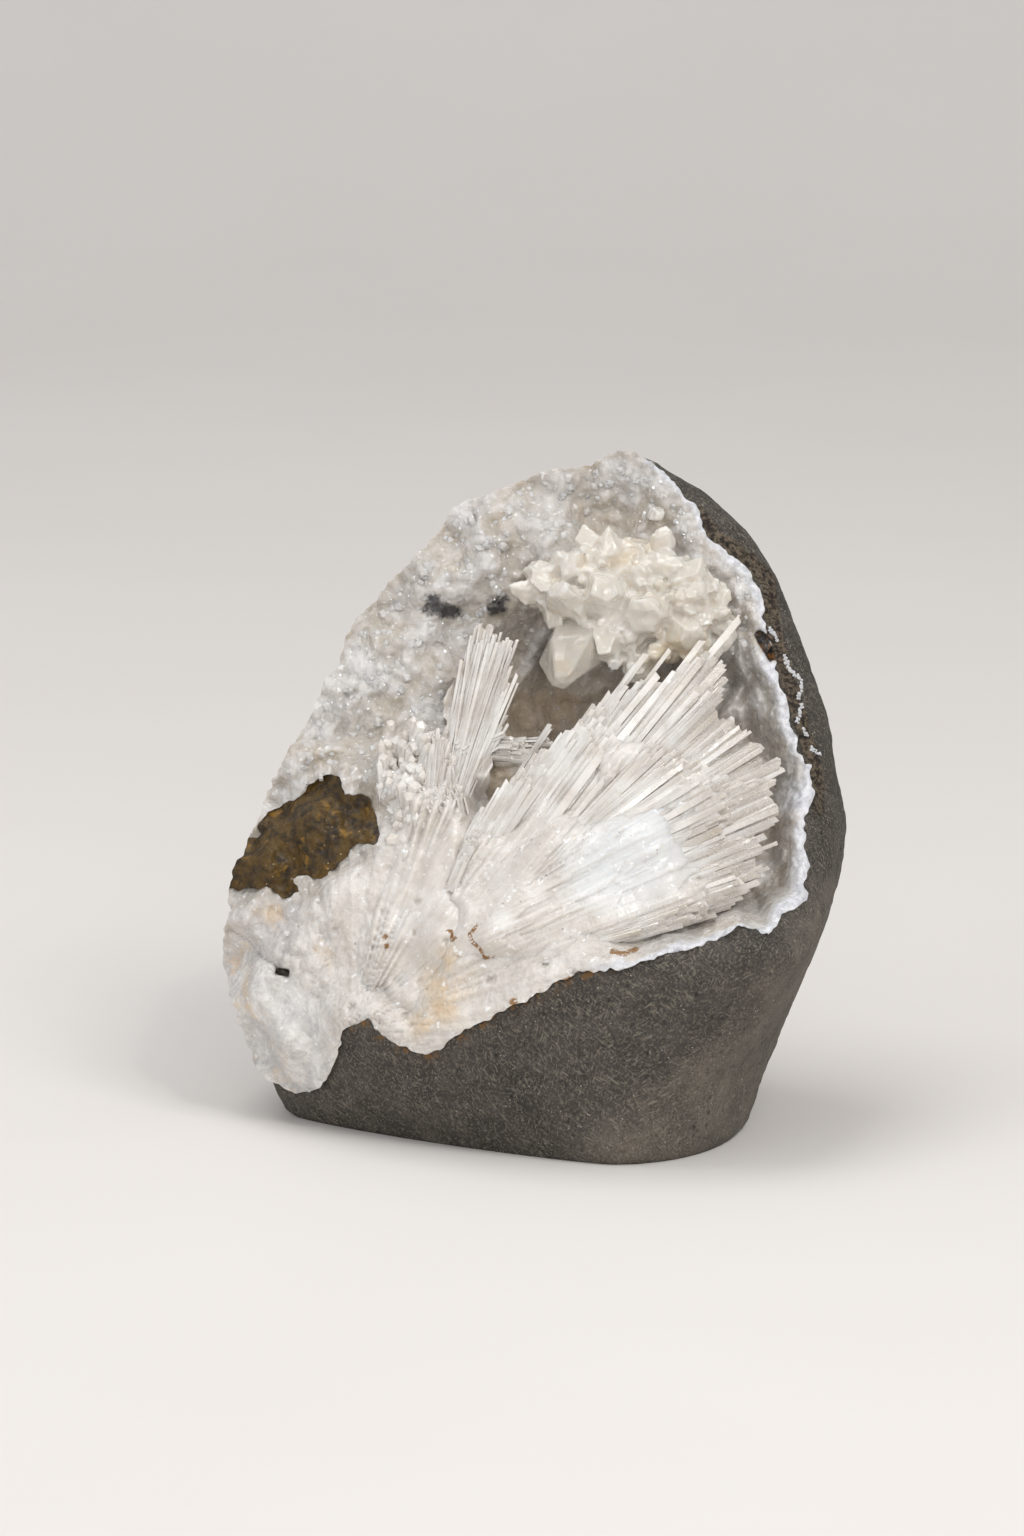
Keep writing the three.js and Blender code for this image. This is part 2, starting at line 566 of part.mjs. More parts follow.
// Crystals
// A straight crystal from root to tip: a prism whose pointed end is cut off at flat times its radius
function crystal({ root, tip, radius, sides, flat, turn, shouldered }) {
  const direction = new THREE.Vector3().subVectors(tip, root);
  const length = direction.length();
  const shoulder = Math.max(length * 0.35, length - radius * 1.1);
  const rings = shouldered ? [[0, radius * 0.9], [shoulder, radius]] : [[0, radius * 1.15]];
  rings.push([length, radius * flat]);
  const points = [];
  for (const [height, ringRadius] of rings) {
    for (let i = 0; i < sides; i += 1) {
      const angle = turn + (i / sides) * 2 * Math.PI;
      points.push(new THREE.Vector3(ringRadius * Math.cos(angle), height, -ringRadius * Math.sin(angle)));
    }
  }
  const triangles = [];
  const at = (ring, side) => ring * sides + (side % sides);
  const last = rings.length - 1;
  for (let side = 0; side < sides; side += 1) {
    for (let ring = 0; ring < last; ring += 1) {
      triangles.push(at(ring, side), at(ring, side + 1), at(ring + 1, side + 1));
      triangles.push(at(ring, side), at(ring + 1, side + 1), at(ring + 1, side));
    }
  }
  for (let side = 1; side < sides - 1; side += 1) {
    triangles.push(at(0, 0), at(0, side + 1), at(0, side));
    triangles.push(at(last, 0), at(last, side), at(last, side + 1));
  }
  const geometry = geometryFrom(points, triangles);
  const upright = new THREE.Vector3(0, 1, 0);
  geometry.applyQuaternion(new THREE.Quaternion().setFromUnitVectors(upright, direction.normalize()));
  geometry.translate(root.x, root.y, root.z);
  return toSolid(geometry);
}

function cluster() {
  const random = seededRandom(5);
  const near = (across, up) => depthFrom(CLUSTER_PLACES, across, up);
  const far = (across, up) => Math.max(near(across, up) + 3, crustDepth(across, up) + 2);
  const solids = [faceBlock(near, far, PITCH).intersect(facePrism(CLUSTER_OUTLINE))];
  for (const { root, tip, radius, flat } of CLUSTER_CRYSTALS) {
    const turn = random() * (Math.PI / 2);
    const ends = { root: stand(...root), tip: stand(...tip) };
    solids.push(crystal({ ...ends, radius, sides: 4, flat, turn, shouldered: true }));
  }
  return joinAll(solids);
}

// Direction that points straight out of the crust's surface
function wallNormal(across, up) {
  const reach = 1.5;
  const at = (dAcross, dUp) => stand(across + dAcross, up + dUp, crustDepth(across + dAcross, up + dUp));
  const sideways = at(reach, 0).sub(at(-reach, 0));
  const upwards = at(0, reach).sub(at(0, -reach));
  return sideways.cross(upwards).normalize();
}

function isInside(outline, across, up) {
  let inside = false;
  outline.forEach(([x, y], i) => {
    const [nextX, nextY] = outline[(i + 1) % outline.length];
    if ((y > up) !== (nextY > up) && across < x + ((nextX - x) * (up - y)) / (nextY - y)) {
      inside = !inside;
    }
  });
  return inside;
}

// Spots inside an outline, none nearer to another than the spacing
function scattered(outline, count, spacing, random) {
  const corners = outline.map(([across, up]) => new THREE.Vector2(across, up));
  const { min, max } = new THREE.Box2().setFromPoints(corners);
  const spots = [];
  for (let attempt = 0; attempt < 4000 && spots.length < count; attempt += 1) {
    const spot = new THREE.Vector2(lerp(min.x, max.x, random()), lerp(min.y, max.y, random()));
    const free = spots.every((other) => other.distanceTo(spot) > spacing);
    if (free && isInside(outline, spot.x, spot.y)) {
      spots.push(spot);
    }
  }
  return spots;
}

// One small pointed crystal of the druse, rooted in the wall and leaning a little at random
function druseCrystal(spot, random) {
  const lean = new THREE.Vector3(random() - 0.5, random() - 0.5, random() - 0.5).multiplyScalar(DRUSE_LEAN);
  const direction = wallNormal(spot.x, spot.y).add(lean).normalize();
  const surface = stand(spot.x, spot.y, crustDepth(spot.x, spot.y));
  const radius = lerp(...DRUSE_RADIUS, random());
  const root = surface.clone().addScaledVector(direction, -DRUSE_SINK);
  const tip = surface.clone().addScaledVector(direction, radius * lerp(0.7, 1.1, random()));
  return crystal({ root, tip, radius, sides: 4, flat: 0.2, turn: random() * Math.PI, shouldered: false });
}

function druse() {
  const random = seededRandom(3);
  const spots = DRUSE_ZONES.flatMap(({ outline, count }) => scattered(outline, count, DRUSE_SPACING, random));
  return joinAll(spots.map((spot) => druseCrystal(spot, random)));
}

function vesicles() {
  return joinAll(VESICLES.map(([across, up, radius]) => {
    const centre = stand(across, up, rockDepth(across, up));
    const bubble = new THREE.IcosahedronGeometry(radius, 0);
    bubble.translate(centre.x, centre.y, centre.z);
    return toSolid(bubble);
  }));
}

// Bodies
const anyDepth = () => DEEPEST;
const outFront = () => -DEEPEST;
const deeper = (step) => (across, up) => crustDepth(across, up) + step;

function basaltMatrix() {
  const opening = faceBlock(outFront, deeper(CRUST_THICKNESS + GAP), PITCH);
  const pocket = opening.intersect(facePrism(grown(CRUST_OUTLINE, GAP)));
  return boulder().subtract(pocket).subtract(vesicles());
}

function quartzCrust() {
  const wall = faceBlock(crustDepth, anyDepth, PITCH).add(druse());
  const behind = faceBlock(deeper(CRUST_THICKNESS), () => DEEPEST + 1, PITCH);
  const patchPocket = faceBlock(outFront, deeper(PATCH_DEPTH + GAP), PITCH);
  return wall.intersect(facePrism(CRUST_OUTLINE))
    .subtract(behind)
    .subtract(patchPocket.intersect(facePrism(PATCH_OUTLINE)));
}

// Everything behind the crust's surface and the gap in front of it
function clearOfCrust(solid) {
  return solid.subtract(faceBlock(deeper(-GAP), anyDepth, PITCH));
}

function scoleciteSpray() {
  const grownTogether = joinAll([fanCore(), massCore(), ...fanBlades(), ...sprayBlades()]);
  return clearOfCrust(grownTogether).subtract(facePrism(grown(PATCH_OUTLINE, GAP)));
}

function apophylliteCluster() {
  return clearOfCrust(cluster());
}

function brownPatch() {
  const slab = faceBlock(deeper(PATCH_RECESS), deeper(PATCH_DEPTH), PITCH);
  return slab.intersect(facePrism(grown(PATCH_OUTLINE, -GAP))).intersect(facePrism(CRUST_OUTLINE));
}

function stoneMaterial(color, roughness) {
  return new THREE.MeshStandardMaterial({ color, roughness, metalness: 0 });
}

const model = new THREE.Group();
model.add(toMesh('basalt_matrix', basaltMatrix(), stoneMaterial(0x5c564e, 0.9)));
model.add(toMesh('quartz_crust', quartzCrust(), stoneMaterial(0xcfc8c0, 0.45)));
model.add(toMesh('scolecite_spray', scoleciteSpray(), stoneMaterial(0xece6df, 0.4)));
model.add(toMesh('apophyllite_cluster', apophylliteCluster(), stoneMaterial(0xddd0bb, 0.35)));
model.add(toMesh('brown_patch', brownPatch(), stoneMaterial(0x54401a, 0.5)));

// The origin is on the surface that the stone stands on, under the middle of its bounding box.
const box = new THREE.Box3().setFromObject(model);
const middle = box.getCenter(new THREE.Vector3());
model.position.set(-middle.x, -middle.y, -box.min.z);

export default model;
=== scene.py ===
"""A standing half of a basalt geode. Quartz lines its hollow, which holds a fan and a spray of
scolecite, cream blocky crystals that hang from the roof, and an olive-brown body at the left edge.

Places are written as in the solids: [across, up, deep] in millimetres on the broken face, which leans
back by FACE_LEAN. stand() turns them into points of the standing stone.
"""

import math

import bpy
import numpy as np
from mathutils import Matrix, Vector


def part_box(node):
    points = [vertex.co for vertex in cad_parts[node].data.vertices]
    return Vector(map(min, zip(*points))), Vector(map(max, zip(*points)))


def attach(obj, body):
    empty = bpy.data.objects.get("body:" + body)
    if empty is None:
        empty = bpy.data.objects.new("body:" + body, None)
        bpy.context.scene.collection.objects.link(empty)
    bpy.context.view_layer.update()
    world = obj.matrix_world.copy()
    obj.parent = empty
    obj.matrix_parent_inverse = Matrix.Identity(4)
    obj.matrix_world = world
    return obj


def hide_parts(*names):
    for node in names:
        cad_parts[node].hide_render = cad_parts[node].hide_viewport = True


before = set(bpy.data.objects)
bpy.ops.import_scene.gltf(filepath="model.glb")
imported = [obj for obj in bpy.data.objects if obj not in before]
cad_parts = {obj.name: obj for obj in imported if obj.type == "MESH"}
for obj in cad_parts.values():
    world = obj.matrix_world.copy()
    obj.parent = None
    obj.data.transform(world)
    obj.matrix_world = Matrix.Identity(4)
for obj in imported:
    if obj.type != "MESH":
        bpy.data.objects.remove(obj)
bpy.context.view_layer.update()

MM = 0.001
FACE_LEAN = math.radians(12)
NEAREST_ROCK = -31.0  # y of the boulder's nearest point before the part was centred on its origin
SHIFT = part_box("basalt_matrix")[0].y / MM - NEAREST_ROCK

# Form of the boulder: level sections as [z, left x, left y, near x, near y, right x, right y, far x,
# far y, roundness of the near left arc, roundness of the near right arc]
SECTIONS = np.array([
    [0, -41, 6.5, 13, -27.3, 36, 6.5, 0, 34, 1.7, 0.95],
    [6, -44.5, 7.5, 14, -29, 38.5, 8, 0, 38, 1.5, 1.05],
    [13, -47.5, 11, 17, -30, 41.5, 10, 0, 42, 1.3, 1.1],
    [25, -50.5, 15.6, 23, -31, 46.3, 12.6, 0, 45.5, 1.1, 0.95],
    [36, -50, 18.5, 27, -30, 50.2, 14.5, 0, 48, 1.05, 0.75],
    [42, -48.5, 20.5, 22, -25, 52, 15.5, 1, 49, 1, 0.85],
    [49, -46, 23, 20, -18, 53, 16.5, 1, 50, 1, 0.9],
    [60, -39.5, 28.5, 18, -5, 51, 18, 2, 51, 1, 0.9],
    [68, -35.5, 31.5, 15, 4.5, 49.3, 20, 3, 51.5, 1, 0.9],
    [77, -30.5, 34.5, 12, 10, 46, 24, 4, 51, 1, 0.9],
    [86, -23.5, 38, 10, 16, 43, 28, 6, 50.5, 1, 0.9],
    [95, -15.5, 40.5, 10, 22, 37, 33, 8, 49, 1, 0.9],
    [101, -6, 41, 10, 27, 31, 35.5, 10, 47, 1, 0.9],
    [107, 12.5, 39, 15, 34, 21.5, 38, 15, 42.5, 1, 0.9],
])
FAR_ROUNDNESS = 0.92
SWELL = 0.9
SECTION_ROWS = 176  # fine levels between the sections
SPOKES = 72  # points of a quarter of each level
FOOT_HEIGHT = 1.4  # of the rounded lower edge
FOOT_INSET = 0.018
DOME_HEIGHT = 1.5
SLOPE_SHARE = 0.8  # under 1 it keeps the curves between the sections from overshooting
SEARCH_FROM, SEARCH_TO, SEARCH_STEP = -60, 40, 1.5  # depths tried to find the boulder's front

CRUST_THICKNESS = 4.0
RIM_PROUD = 0.7
RIM_DROP = 2.5
RIM_WIDTH = 7.0
RIM_OUTLINE = [
    [19, 113.2], [24, 109.5], [27.6, 105], [29, 101.7], [31, 99], [34.7, 95.8], [37, 94.2], [38.3, 90],
    [39.3, 84.6], [39.8, 79], [42.4, 73], [42.7, 68.5], [44.4, 65], [46.8, 61.5], [47, 56.5], [46, 52],
    [45.7, 45], [45.6, 38.5], [41.2, 36], [39, 32.7], [34, 34.4], [31.5, 33], [27.6, 31], [23, 30.3],
    [18, 28], [12, 27], [7, 26.6], [1, 23.7], [-6, 19.8], [-9, 18], [-13, 15.8], [-15.5, 13.2],
    [-17.6, 12.7], [-20.5, 13.2], [-23, 14.4], [-26.8, 16.8], [-28, 18.5], [-30.7, 17.6], [-32.4, 16.8],
    [-33.3, 11.2], [-34.2, 9], [-36, 6.6], [-38, 5.6], [-40.3, 5.6], [-42.7, 6.1], [-45, 8], [-47.8, 11.5],
]
LOWER_RIM = RIM_OUTLINE[25:38]
OPEN_EDGE_OUTLINE = [
    [-49.2, 15.4], [-51, 21], [-53, 28], [-51.6, 35.6], [-52, 40], [-49, 48.6], [-46, 55.3], [-44, 59.5],
    [-39.7, 66.4], [-37.5, 70.2], [-36, 74.6], [-33, 80], [-31, 85], [-25.5, 91], [-21.4, 95.3],
    [-17.6, 100.3], [-14.4, 104.7], [-11.4, 106.6], [-6, 108.6], [1, 111], [9.5, 112.4], [14, 114.7],
    [17, 114.6],
]
CRUST_OUTLINE = RIM_OUTLINE + OPEN_EDGE_OUTLINE

# Depths of the wall of the hollow
WALL_PLACES = [
    [-34, 10, -7], [-38, 7, -4], [-43, 8, -2], [-48, 13, 1], [-40, 15, -9], [-44, 24, -7], [-37, 28, -11],
    [-52, 28, 4], [-47, 36, -3], [-28, 20, -14], [-31, 36, -12], [-23, 18, -19],
    [-51, 40, 3], [-44, 46, -3], [-48, 49, 4], [-36, 50, -6], [-45, 56, 7], [-38, 60, 3], [-30, 58, -3],
    [-37, 70, 10], [-29, 68, 6], [-32, 80, 12], [-24, 78, 8], [-16, 76, 8],
    [-25, 90, 14], [-17, 90, 10], [-12, 84, 13], [-14, 104, 15], [-6, 100, 10], [0, 110, 14], [-4, 92, 10],
    [5, 97, 7], [12, 105, 14], [22, 101, 8], [11, 112, 13], [17, 113, 11],
    [-7, 74, 15], [-2, 70, 22], [4, 70, 25], [5, 76, 24], [11, 73, 22], [10, 82, 18], [-3, 80, 17],
    [18, 88, 9], [28, 90, 6], [33, 84, 5], [20, 78, 15], [28, 74, 9], [35, 68, 3], [38, 58, -1],
    [39, 49, -7], [36, 42, -13],
    [14, 62, 8], [25, 58, 0], [5, 52, -6], [15, 44, -14], [28, 44, -13], [20, 38, -22], [0, 39, -22],
    [-12, 38, -20], [-20, 30, -17], [-14, 46, -13], [-22, 44, -12], [-22, 56, -7], [-16, 62, -1],
    [-10, 68, 5], [-5, 62, 6],
    [8, 30, -31.5], [1, 29, -31], [-5, 31, -29], [-6, 25, -30], [-11, 29, -27.5], [-12, 21, -28],
    [-17, 17, -26],
]
SOFTNESS = 2.5

# The big fan
FAN_ROOT = (-13, 33)
FAN_REACH = [
    [0, 32], [5, 43], [8, 50], [13, 52.5], [20, 56], [28, 61], [34, 59], [40, 57], [45, 65], [48, 66],
    [51, 54], [56, 50], [63, 35], [74, 24], [86, 13],
]
FAN_SLANT = [[0, 15], [8, 18], [28, 27], [47, 50], [60, 56], [86, 66]]
FAN_PLACES = [
    [-13, 33, -26], [-12, 44, -19], [-5, 56, -13], [5, 62, -11], [14, 72, -8], [24, 76, -7], [32, 82, -5],
    [30, 70, -11], [36, 66, -11], [42, 62, -11], [39, 53, -17], [38, 45, -21], [35, 39, -25],
    [25, 35, -31], [12, 33, -31], [0, 33, -30], [-6, 30, -29.5], [3, 29, -31.5], [5, 45, -26], [18, 47, -28],
    [28, 52, -23], [15, 60, -17],
]

# The fibrous mass left of the fan, and the spray above it
MASS_ROOT = (-30.3, 17.0)
MASS_OUTLINE = [
    [-26.5, 19.5], [-31, 22], [-31.5, 32], [-28, 39], [-25, 44], [-24.5, 62], [-21, 60], [-17, 63],
    [-14, 76], [-9, 79], [-6.5, 72], [-5, 66], [-8, 58], [-9, 46], [-8, 34], [-10, 24], [-18, 16],
]
MASS_PLACES = [
    [-31, 22, -15], [-31, 31, -13.5], [-26, 40, -15], [-25, 52, -10], [-24, 62, -5], [-18, 52, -13],
    [-16, 62, -8], [-8, 68, -4], [-12, 46, -18], [-12, 32, -25], [-18, 20, -22], [-24, 28, -18],
]

# The cream crystals
CLUSTER_PLACES = [
    [2, 90, 4], [6, 85, 3], [12, 86, 0], [10, 93, 1], [20, 86, -1], [26, 88, -1], [32, 86, 2], [24, 82, 1],
    [22, 94, 3], [14, 97, 5],
]
CLUSTER_OUTLINE = [
    [-1, 93], [4, 97], [9, 97], [14, 99], [22, 97], [29, 94], [33, 89], [33.5, 84], [29, 80], [19, 77.5],
    [14, 80], [8, 81], [2, 85],
]

PATCH_OUTLINE = [
    [-54, 44], [-50, 48.8], [-46.9, 48.6], [-46.6, 50.8], [-44.6, 53], [-42.4, 54.7], [-39.7, 55.6],
    [-37.8, 58], [-34.6, 59.2], [-32.7, 58], [-32.4, 55.9], [-29.3, 56], [-27.6, 54.7], [-26.3, 52.4],
    [-26.3, 48.3], [-30, 48.1], [-31.5, 46.3], [-33, 44.4], [-34.7, 42.5], [-37, 42], [-41.5, 42],
    [-39.8, 39.8], [-42, 39], [-45.4, 40.8], [-47.5, 41], [-50, 40.3], [-54, 40],
]
PATCH_RECESS = 0.3

# Grids on the face: pitch, then left, right, low and high edge
WHOLE_GRID = (1.2, (-57, 57, -3, 119))
CRUST_GRID = (0.42, (-54.5, 48.5, 4, 116))
FAN_GRID = (0.27, (-18, 46, 26, 88))
MASS_GRID = (0.36, (-34, -3, 14, 81))
PATCH_GRID = (0.4, (-55, -25, 38, 60))
IN_FRONT = -80.0  # a depth in front of everything
BEHIND = 80.0
FAN_BODY = 9  # thickness of the fan's body and of the mass
MASS_BODY = 12


# Places and fields
INWARD = np.array([0, math.cos(FACE_LEAN), -math.sin(FACE_LEAN)])  # into the stone, square to the face


def stand(across, up, deep):
    """Points of the standing stone, as rows of x, y, z in millimetres."""
    y = deep * math.cos(FACE_LEAN) + up * math.sin(FACE_LEAN) + SHIFT
    z = up * math.cos(FACE_LEAN) - deep * math.sin(FACE_LEAN)
    return np.stack(np.broadcast_arrays(np.asarray(across, float), y, z), axis=-1)


def face_places(points):
    """The reverse of stand(): across, up and deep of points in millimetres."""
    y = points[:, 1] - SHIFT
    z = points[:, 2]
    up = z * math.cos(FACE_LEAN) + y * math.sin(FACE_LEAN)
    deep = y * math.cos(FACE_LEAN) - z * math.sin(FACE_LEAN)
    return points[:, 0], up, deep


def depth_from(places, across, up):
    """Depth at each place, weighted from a list of known ones by how near they are."""
    total = np.zeros_like(across, dtype=float)
    weights = np.zeros_like(total)
    for place_across, place_up, deep in places:
        squared = (across - place_across) ** 2 + (up - place_up) ** 2 + SOFTNESS**2
        weight = 1 / squared**2
        total += weight * deep
        weights += weight
    return total / weights


def smoothstep(value, low, high):
    t = np.clip((value - low) / (high - low), 0, 1)
    return t * t * (3 - 2 * t)


def lerp(a, b, t):
    return a + (b - a) * t


def unit(vectors):
    return vectors / np.linalg.norm(vectors, axis=1)[:, None]


def inside(outline, across, up):
    result = np.zeros(np.shape(across), bool)
    for (x, y), (next_x, next_y) in zip(outline, outline[1:] + outline[:1]):
        crosses = (y > up) != (next_y > up)
        with np.errstate(divide="ignore", invalid="ignore"):
            result ^= crosses & (across < x + (next_x - x) * (up - y) / (next_y - y))
    return result


def distance_to(chain, across, up):
    """Distance of each place to a chain of straight stretches."""
    best = np.full(np.shape(across), 1e9)
    for (x, y), (next_x, next_y) in zip(chain, chain[1:]):
        dx, dy = next_x - x, next_y - y
        t = np.clip(((across - x) * dx + (up - y) * dy) / (dx * dx + dy * dy + 1e-12), 0, 1)
        best = np.minimum(best, np.hypot(across - x - t * dx, up - y - t * dy))
    return best


def edge_distance(outline, across, up):
    return distance_to(outline + outline[:1], across, up)


def near_chain(chain, across, up, width):
    """1 on a chain, falling softly to 0 beside it."""
    return np.exp(-(distance_to(chain, across, up) / width) ** 2)


def within(outline, across, up, soft):
    """1 inside an outline, 0 outside it, with a soft edge of that width."""
    far = edge_distance(outline, across, up)
    signed = np.where(inside(outline, across, up), far, -far)
    return smoothstep(signed, -soft / 2, soft / 2)


def each_spot(spots, across, up):
    """Soft round spots one by one, each given as [across, up, radius, strength]."""
    for spot_across, spot_up, radius, strength in spots:
        squared = ((across - spot_across) ** 2 + (up - spot_up) ** 2) / radius**2
        yield strength * np.exp(-squared)


def spot_mask(spots, across, up):
    return np.max(list(each_spot(spots, across, up)), axis=0)


# Random fields, the same on every run
def lattice(ix, iy, iz, seed):
    """A random value from 0 to 1 for each whole-number place."""
    mixed = (ix * 374761393 + iy * 668265263 + iz * 1442695041 + seed * 974634777) & 0xFFFFFFFF
    mixed = ((mixed ^ (mixed >> 13)) * 1274126177) & 0xFFFFFFFF
    return ((mixed ^ (mixed >> 16)) & 0xFFFFFF) / 0xFFFFFF


def smooth_noise(points, size, seed):
    """Smooth noise from -1 to 1 with features of that size."""
    scaled = points / size
    cell = np.floor(scaled).astype(np.int64)
    t = scaled - cell
    t = t * t * (3 - 2 * t)
    value = np.zeros(len(points))
    for corner in range(8):
        ox, oy, oz = corner & 1, (corner >> 1) & 1, corner >> 2
        weight = (t[:, 0] if ox else 1 - t[:, 0])
        weight = weight * (t[:, 1] if oy else 1 - t[:, 1])
        weight = weight * (t[:, 2] if oz else 1 - t[:, 2])
        value += weight * lattice(cell[:, 0] + ox, cell[:, 1] + oy, cell[:, 2] + oz, seed)
    return value * 2 - 1


def layered_noise(points, size, seed, layers=3):
    """Smooth noise with finer and weaker layers added."""
    return sum(smooth_noise(points, size / 2**i, seed + i) / 2**i for i in range(layers))


LUMP_FALL = 1.6  # how fast a lump falls away from its top


def lumps(points, size, seed):
    """Height from about 0 to 1 of round lumps that lie against each other."""
    scaled = points / size
    cell = np.floor(scaled).astype(np.int64)
    best = np.full(len(points), 9.0)
    for ox in (-1, 0, 1):
        for oy in (-1, 0, 1):
            for oz in (-1, 0, 1):
                at = [cell[:, 0] + ox, cell[:, 1] + oy, cell[:, 2] + oz]
                squared = np.zeros(len(points))
                for axis in range(3):
                    middle = at[axis] + lattice(at[0], at[1], at[2], seed + axis)
                    squared += (scaled[:, axis] - middle) ** 2
                best = np.minimum(best, squared)
    return 1 - LUMP_FALL * best


WILD_LEFT, WILD_LOW, WILD_HIGH = 36, 36, 92  # the rim is rougher right of this place, between these heights


def ragged(outline, step, amount, seed, closed=True):
    """An outline drawn again in short steps that wander by the amount."""
    knots = np.array(outline + (outline[:1] if closed else []), float)
    lengths = np.hypot(*np.diff(knots, axis=0).T)
    along = np.concatenate([[0], np.cumsum(lengths)])
    count = int(along[-1] / step)
    spots = np.linspace(0, along[-1], count, endpoint=not closed)
    across = np.interp(spots, along, knots[:, 0])
    up = np.interp(spots, along, knots[:, 1])
    dx, dy = np.gradient(across), np.gradient(up)
    length = np.hypot(dx, dy) + 1e-9
    places = np.stack([across, up, np.zeros(count)], axis=1)
    wild = 1 + 0.5 * (across > WILD_LEFT) * (up > WILD_LOW) * (up < WILD_HIGH)
    coarse = layered_noise(places, 4.0, seed) * 0.55
    fine = smooth_noise(places, 1.6, seed + 9) * 0.55 + smooth_noise(places, 0.9, seed + 5) * 0.4
    offset = amount * wild * (coarse + fine)
    return np.stack([across - dy / length * offset, up + dx / length * offset], axis=1).tolist()


# Meshes
def add_object(name, data):
    obj = bpy.data.objects.new(name, data)
    bpy.context.scene.collection.objects.link(obj)
    return obj


def make_object(name, points, faces, smooth=True):
    """Object from points in millimetres and faces, given as a list of index arrays of equal width."""
    mesh = bpy.data.meshes.new(name)
    faces = faces if isinstance(faces, list) else [faces]
    loops = np.concatenate([f.ravel() for f in faces])
    sizes = np.concatenate([np.full(len(f), f.shape[1]) for f in faces])
    mesh.vertices.add(len(points))
    mesh.vertices.foreach_set("co", (np.asarray(points) * MM).astype(np.float32).ravel())
    mesh.loops.add(len(loops))
    mesh.loops.foreach_set("vertex_index", loops.astype(np.int32))
    mesh.polygons.add(len(sizes))
    mesh.polygons.foreach_set("loop_start", (np.cumsum(sizes) - sizes).astype(np.int32))
    mesh.polygons.foreach_set("loop_total", sizes.astype(np.int32))
    mesh.polygons.foreach_set("use_smooth", np.full(len(sizes), smooth))
    mesh.update(calc_edges=True)
    mesh.validate()
    return add_object(name, mesh)


def vertex_rows(obj, key):
    flat = np.zeros(len(obj.data.vertices) * 3, np.float32)
    obj.data.vertices.foreach_get(key, flat)
    return flat.reshape(-1, 3).astype(float)


def positions(obj):
    """Vertex places of an object in millimetres."""
    return vertex_rows(obj, "co") / MM


def push_out(obj, heights):
    """Moves each vertex along its normal."""
    points = positions(obj) + vertex_rows(obj, "normal") * heights[:, None]
    obj.data.vertices.foreach_set("co", (points * MM).astype(np.float32).ravel())
    obj.data.update()


def shade_smooth(obj):
    obj.data.polygons.foreach_set("use_smooth", np.full(len(obj.data.polygons), True))


def paint(obj, name, values):
    """Keeps a value for each vertex, which a material reads by its name."""
    attribute = obj.data.attributes.get(name) or obj.data.attributes.new(name, "FLOAT", "POINT")
    attribute.data.foreach_set("value", np.asarray(values, np.float32))


def bake_modifiers(obj):
    """Makes what the modifiers show into the object's own mesh."""
    shaped = obj.evaluated_get(bpy.context.evaluated_depsgraph_get())
    mesh = bpy.data.meshes.new_from_object(shaped)
    obj.modifiers.clear()
    obj.data = mesh


def combine(target, tool, operation):
    """Cuts or joins a closed mesh with another one, which is used up."""
    modifier = target.modifiers.new("combine", "BOOLEAN")
    modifier.object = tool
    modifier.operation = operation
    modifier.solver = "MANIFOLD"
    bake_modifiers(target)
    bpy.data.objects.remove(tool)
    shade_smooth(target)
    return target


def join(name, pieces):
    """One object from pieces given as (points, faces) or (points, faces, {attribute: values})."""
    points, quads, tris, painted = [], [], [], {}
    offset = 0
    for piece in pieces:
        points.append(piece[0])
        for faces in piece[1] if isinstance(piece[1], list) else [piece[1]]:
            (quads if faces.shape[1] == 4 else tris).append(faces + offset)
        for key, values in (piece[2] if len(piece) > 2 else {}).items():
            painted.setdefault(key, []).append((offset, values))
        offset += len(piece[0])
    faces = [np.concatenate(group) for group in (quads, tris) if group]
    obj = make_object(name, np.concatenate(points), faces, smooth=False)
    for key, stretches in painted.items():
        values = np.zeros(offset)
        for start, part in stretches:
            values[start:start + len(part)] = part
        paint(obj, key, values)
    return obj


def face_block(name, near, far, pitch, box):
    """Closed block between two depth functions, over a square grid on the face."""
    left, right, low, high = box
    columns = round((right - left) / pitch)
    rows = round((high - low) / pitch)
    across, up = np.meshgrid(np.linspace(left, right, columns + 1), np.linspace(low, high, rows + 1))
    across, up = across.ravel(), up.ravel()
    points = np.concatenate([stand(across, up, near(across, up)), stand(across, up, far(across, up))])
    layer = (columns + 1) * (rows + 1)
    at = np.arange(layer).reshape(rows + 1, columns + 1)
    a, b, c, d = at[:-1, :-1], at[:-1, 1:], at[1:, 1:], at[1:, :-1]
    front = np.stack([a, b, c, d], axis=-1).reshape(-1, 4)
    faces = [front, front[:, ::-1] + layer]
    border = np.concatenate([at[0, :], at[1:, -1], at[-1, -2::-1], at[-2:0:-1, 0]])
    after = np.roll(border, -1)
    faces.append(np.stack([border, border + layer, after + layer, after], axis=-1))
    return make_object(name, points, np.concatenate(faces))


def face_prism(outline, near=IN_FRONT, far=BEHIND):
    """Closed prism that stands square on the face."""
    across, up = np.array(outline).T
    if np.sum(across * np.roll(up, -1) - np.roll(across, -1) * up) < 0:
        across, up = across[::-1], up[::-1]
    count = len(across)
    points = np.concatenate([stand(across, up, near), stand(across, up, far)])
    ring = np.arange(count)
    after = np.roll(ring, -1)
    sides = np.stack([ring, ring + count, after + count, after], axis=-1)
    mesh = bpy.data.meshes.new("prism")
    caps = [ring.tolist(), (ring[::-1] + count).tolist()]
    mesh.from_pydata((points * MM).tolist(), [], caps + sides.tolist())
    return add_object("prism", mesh)


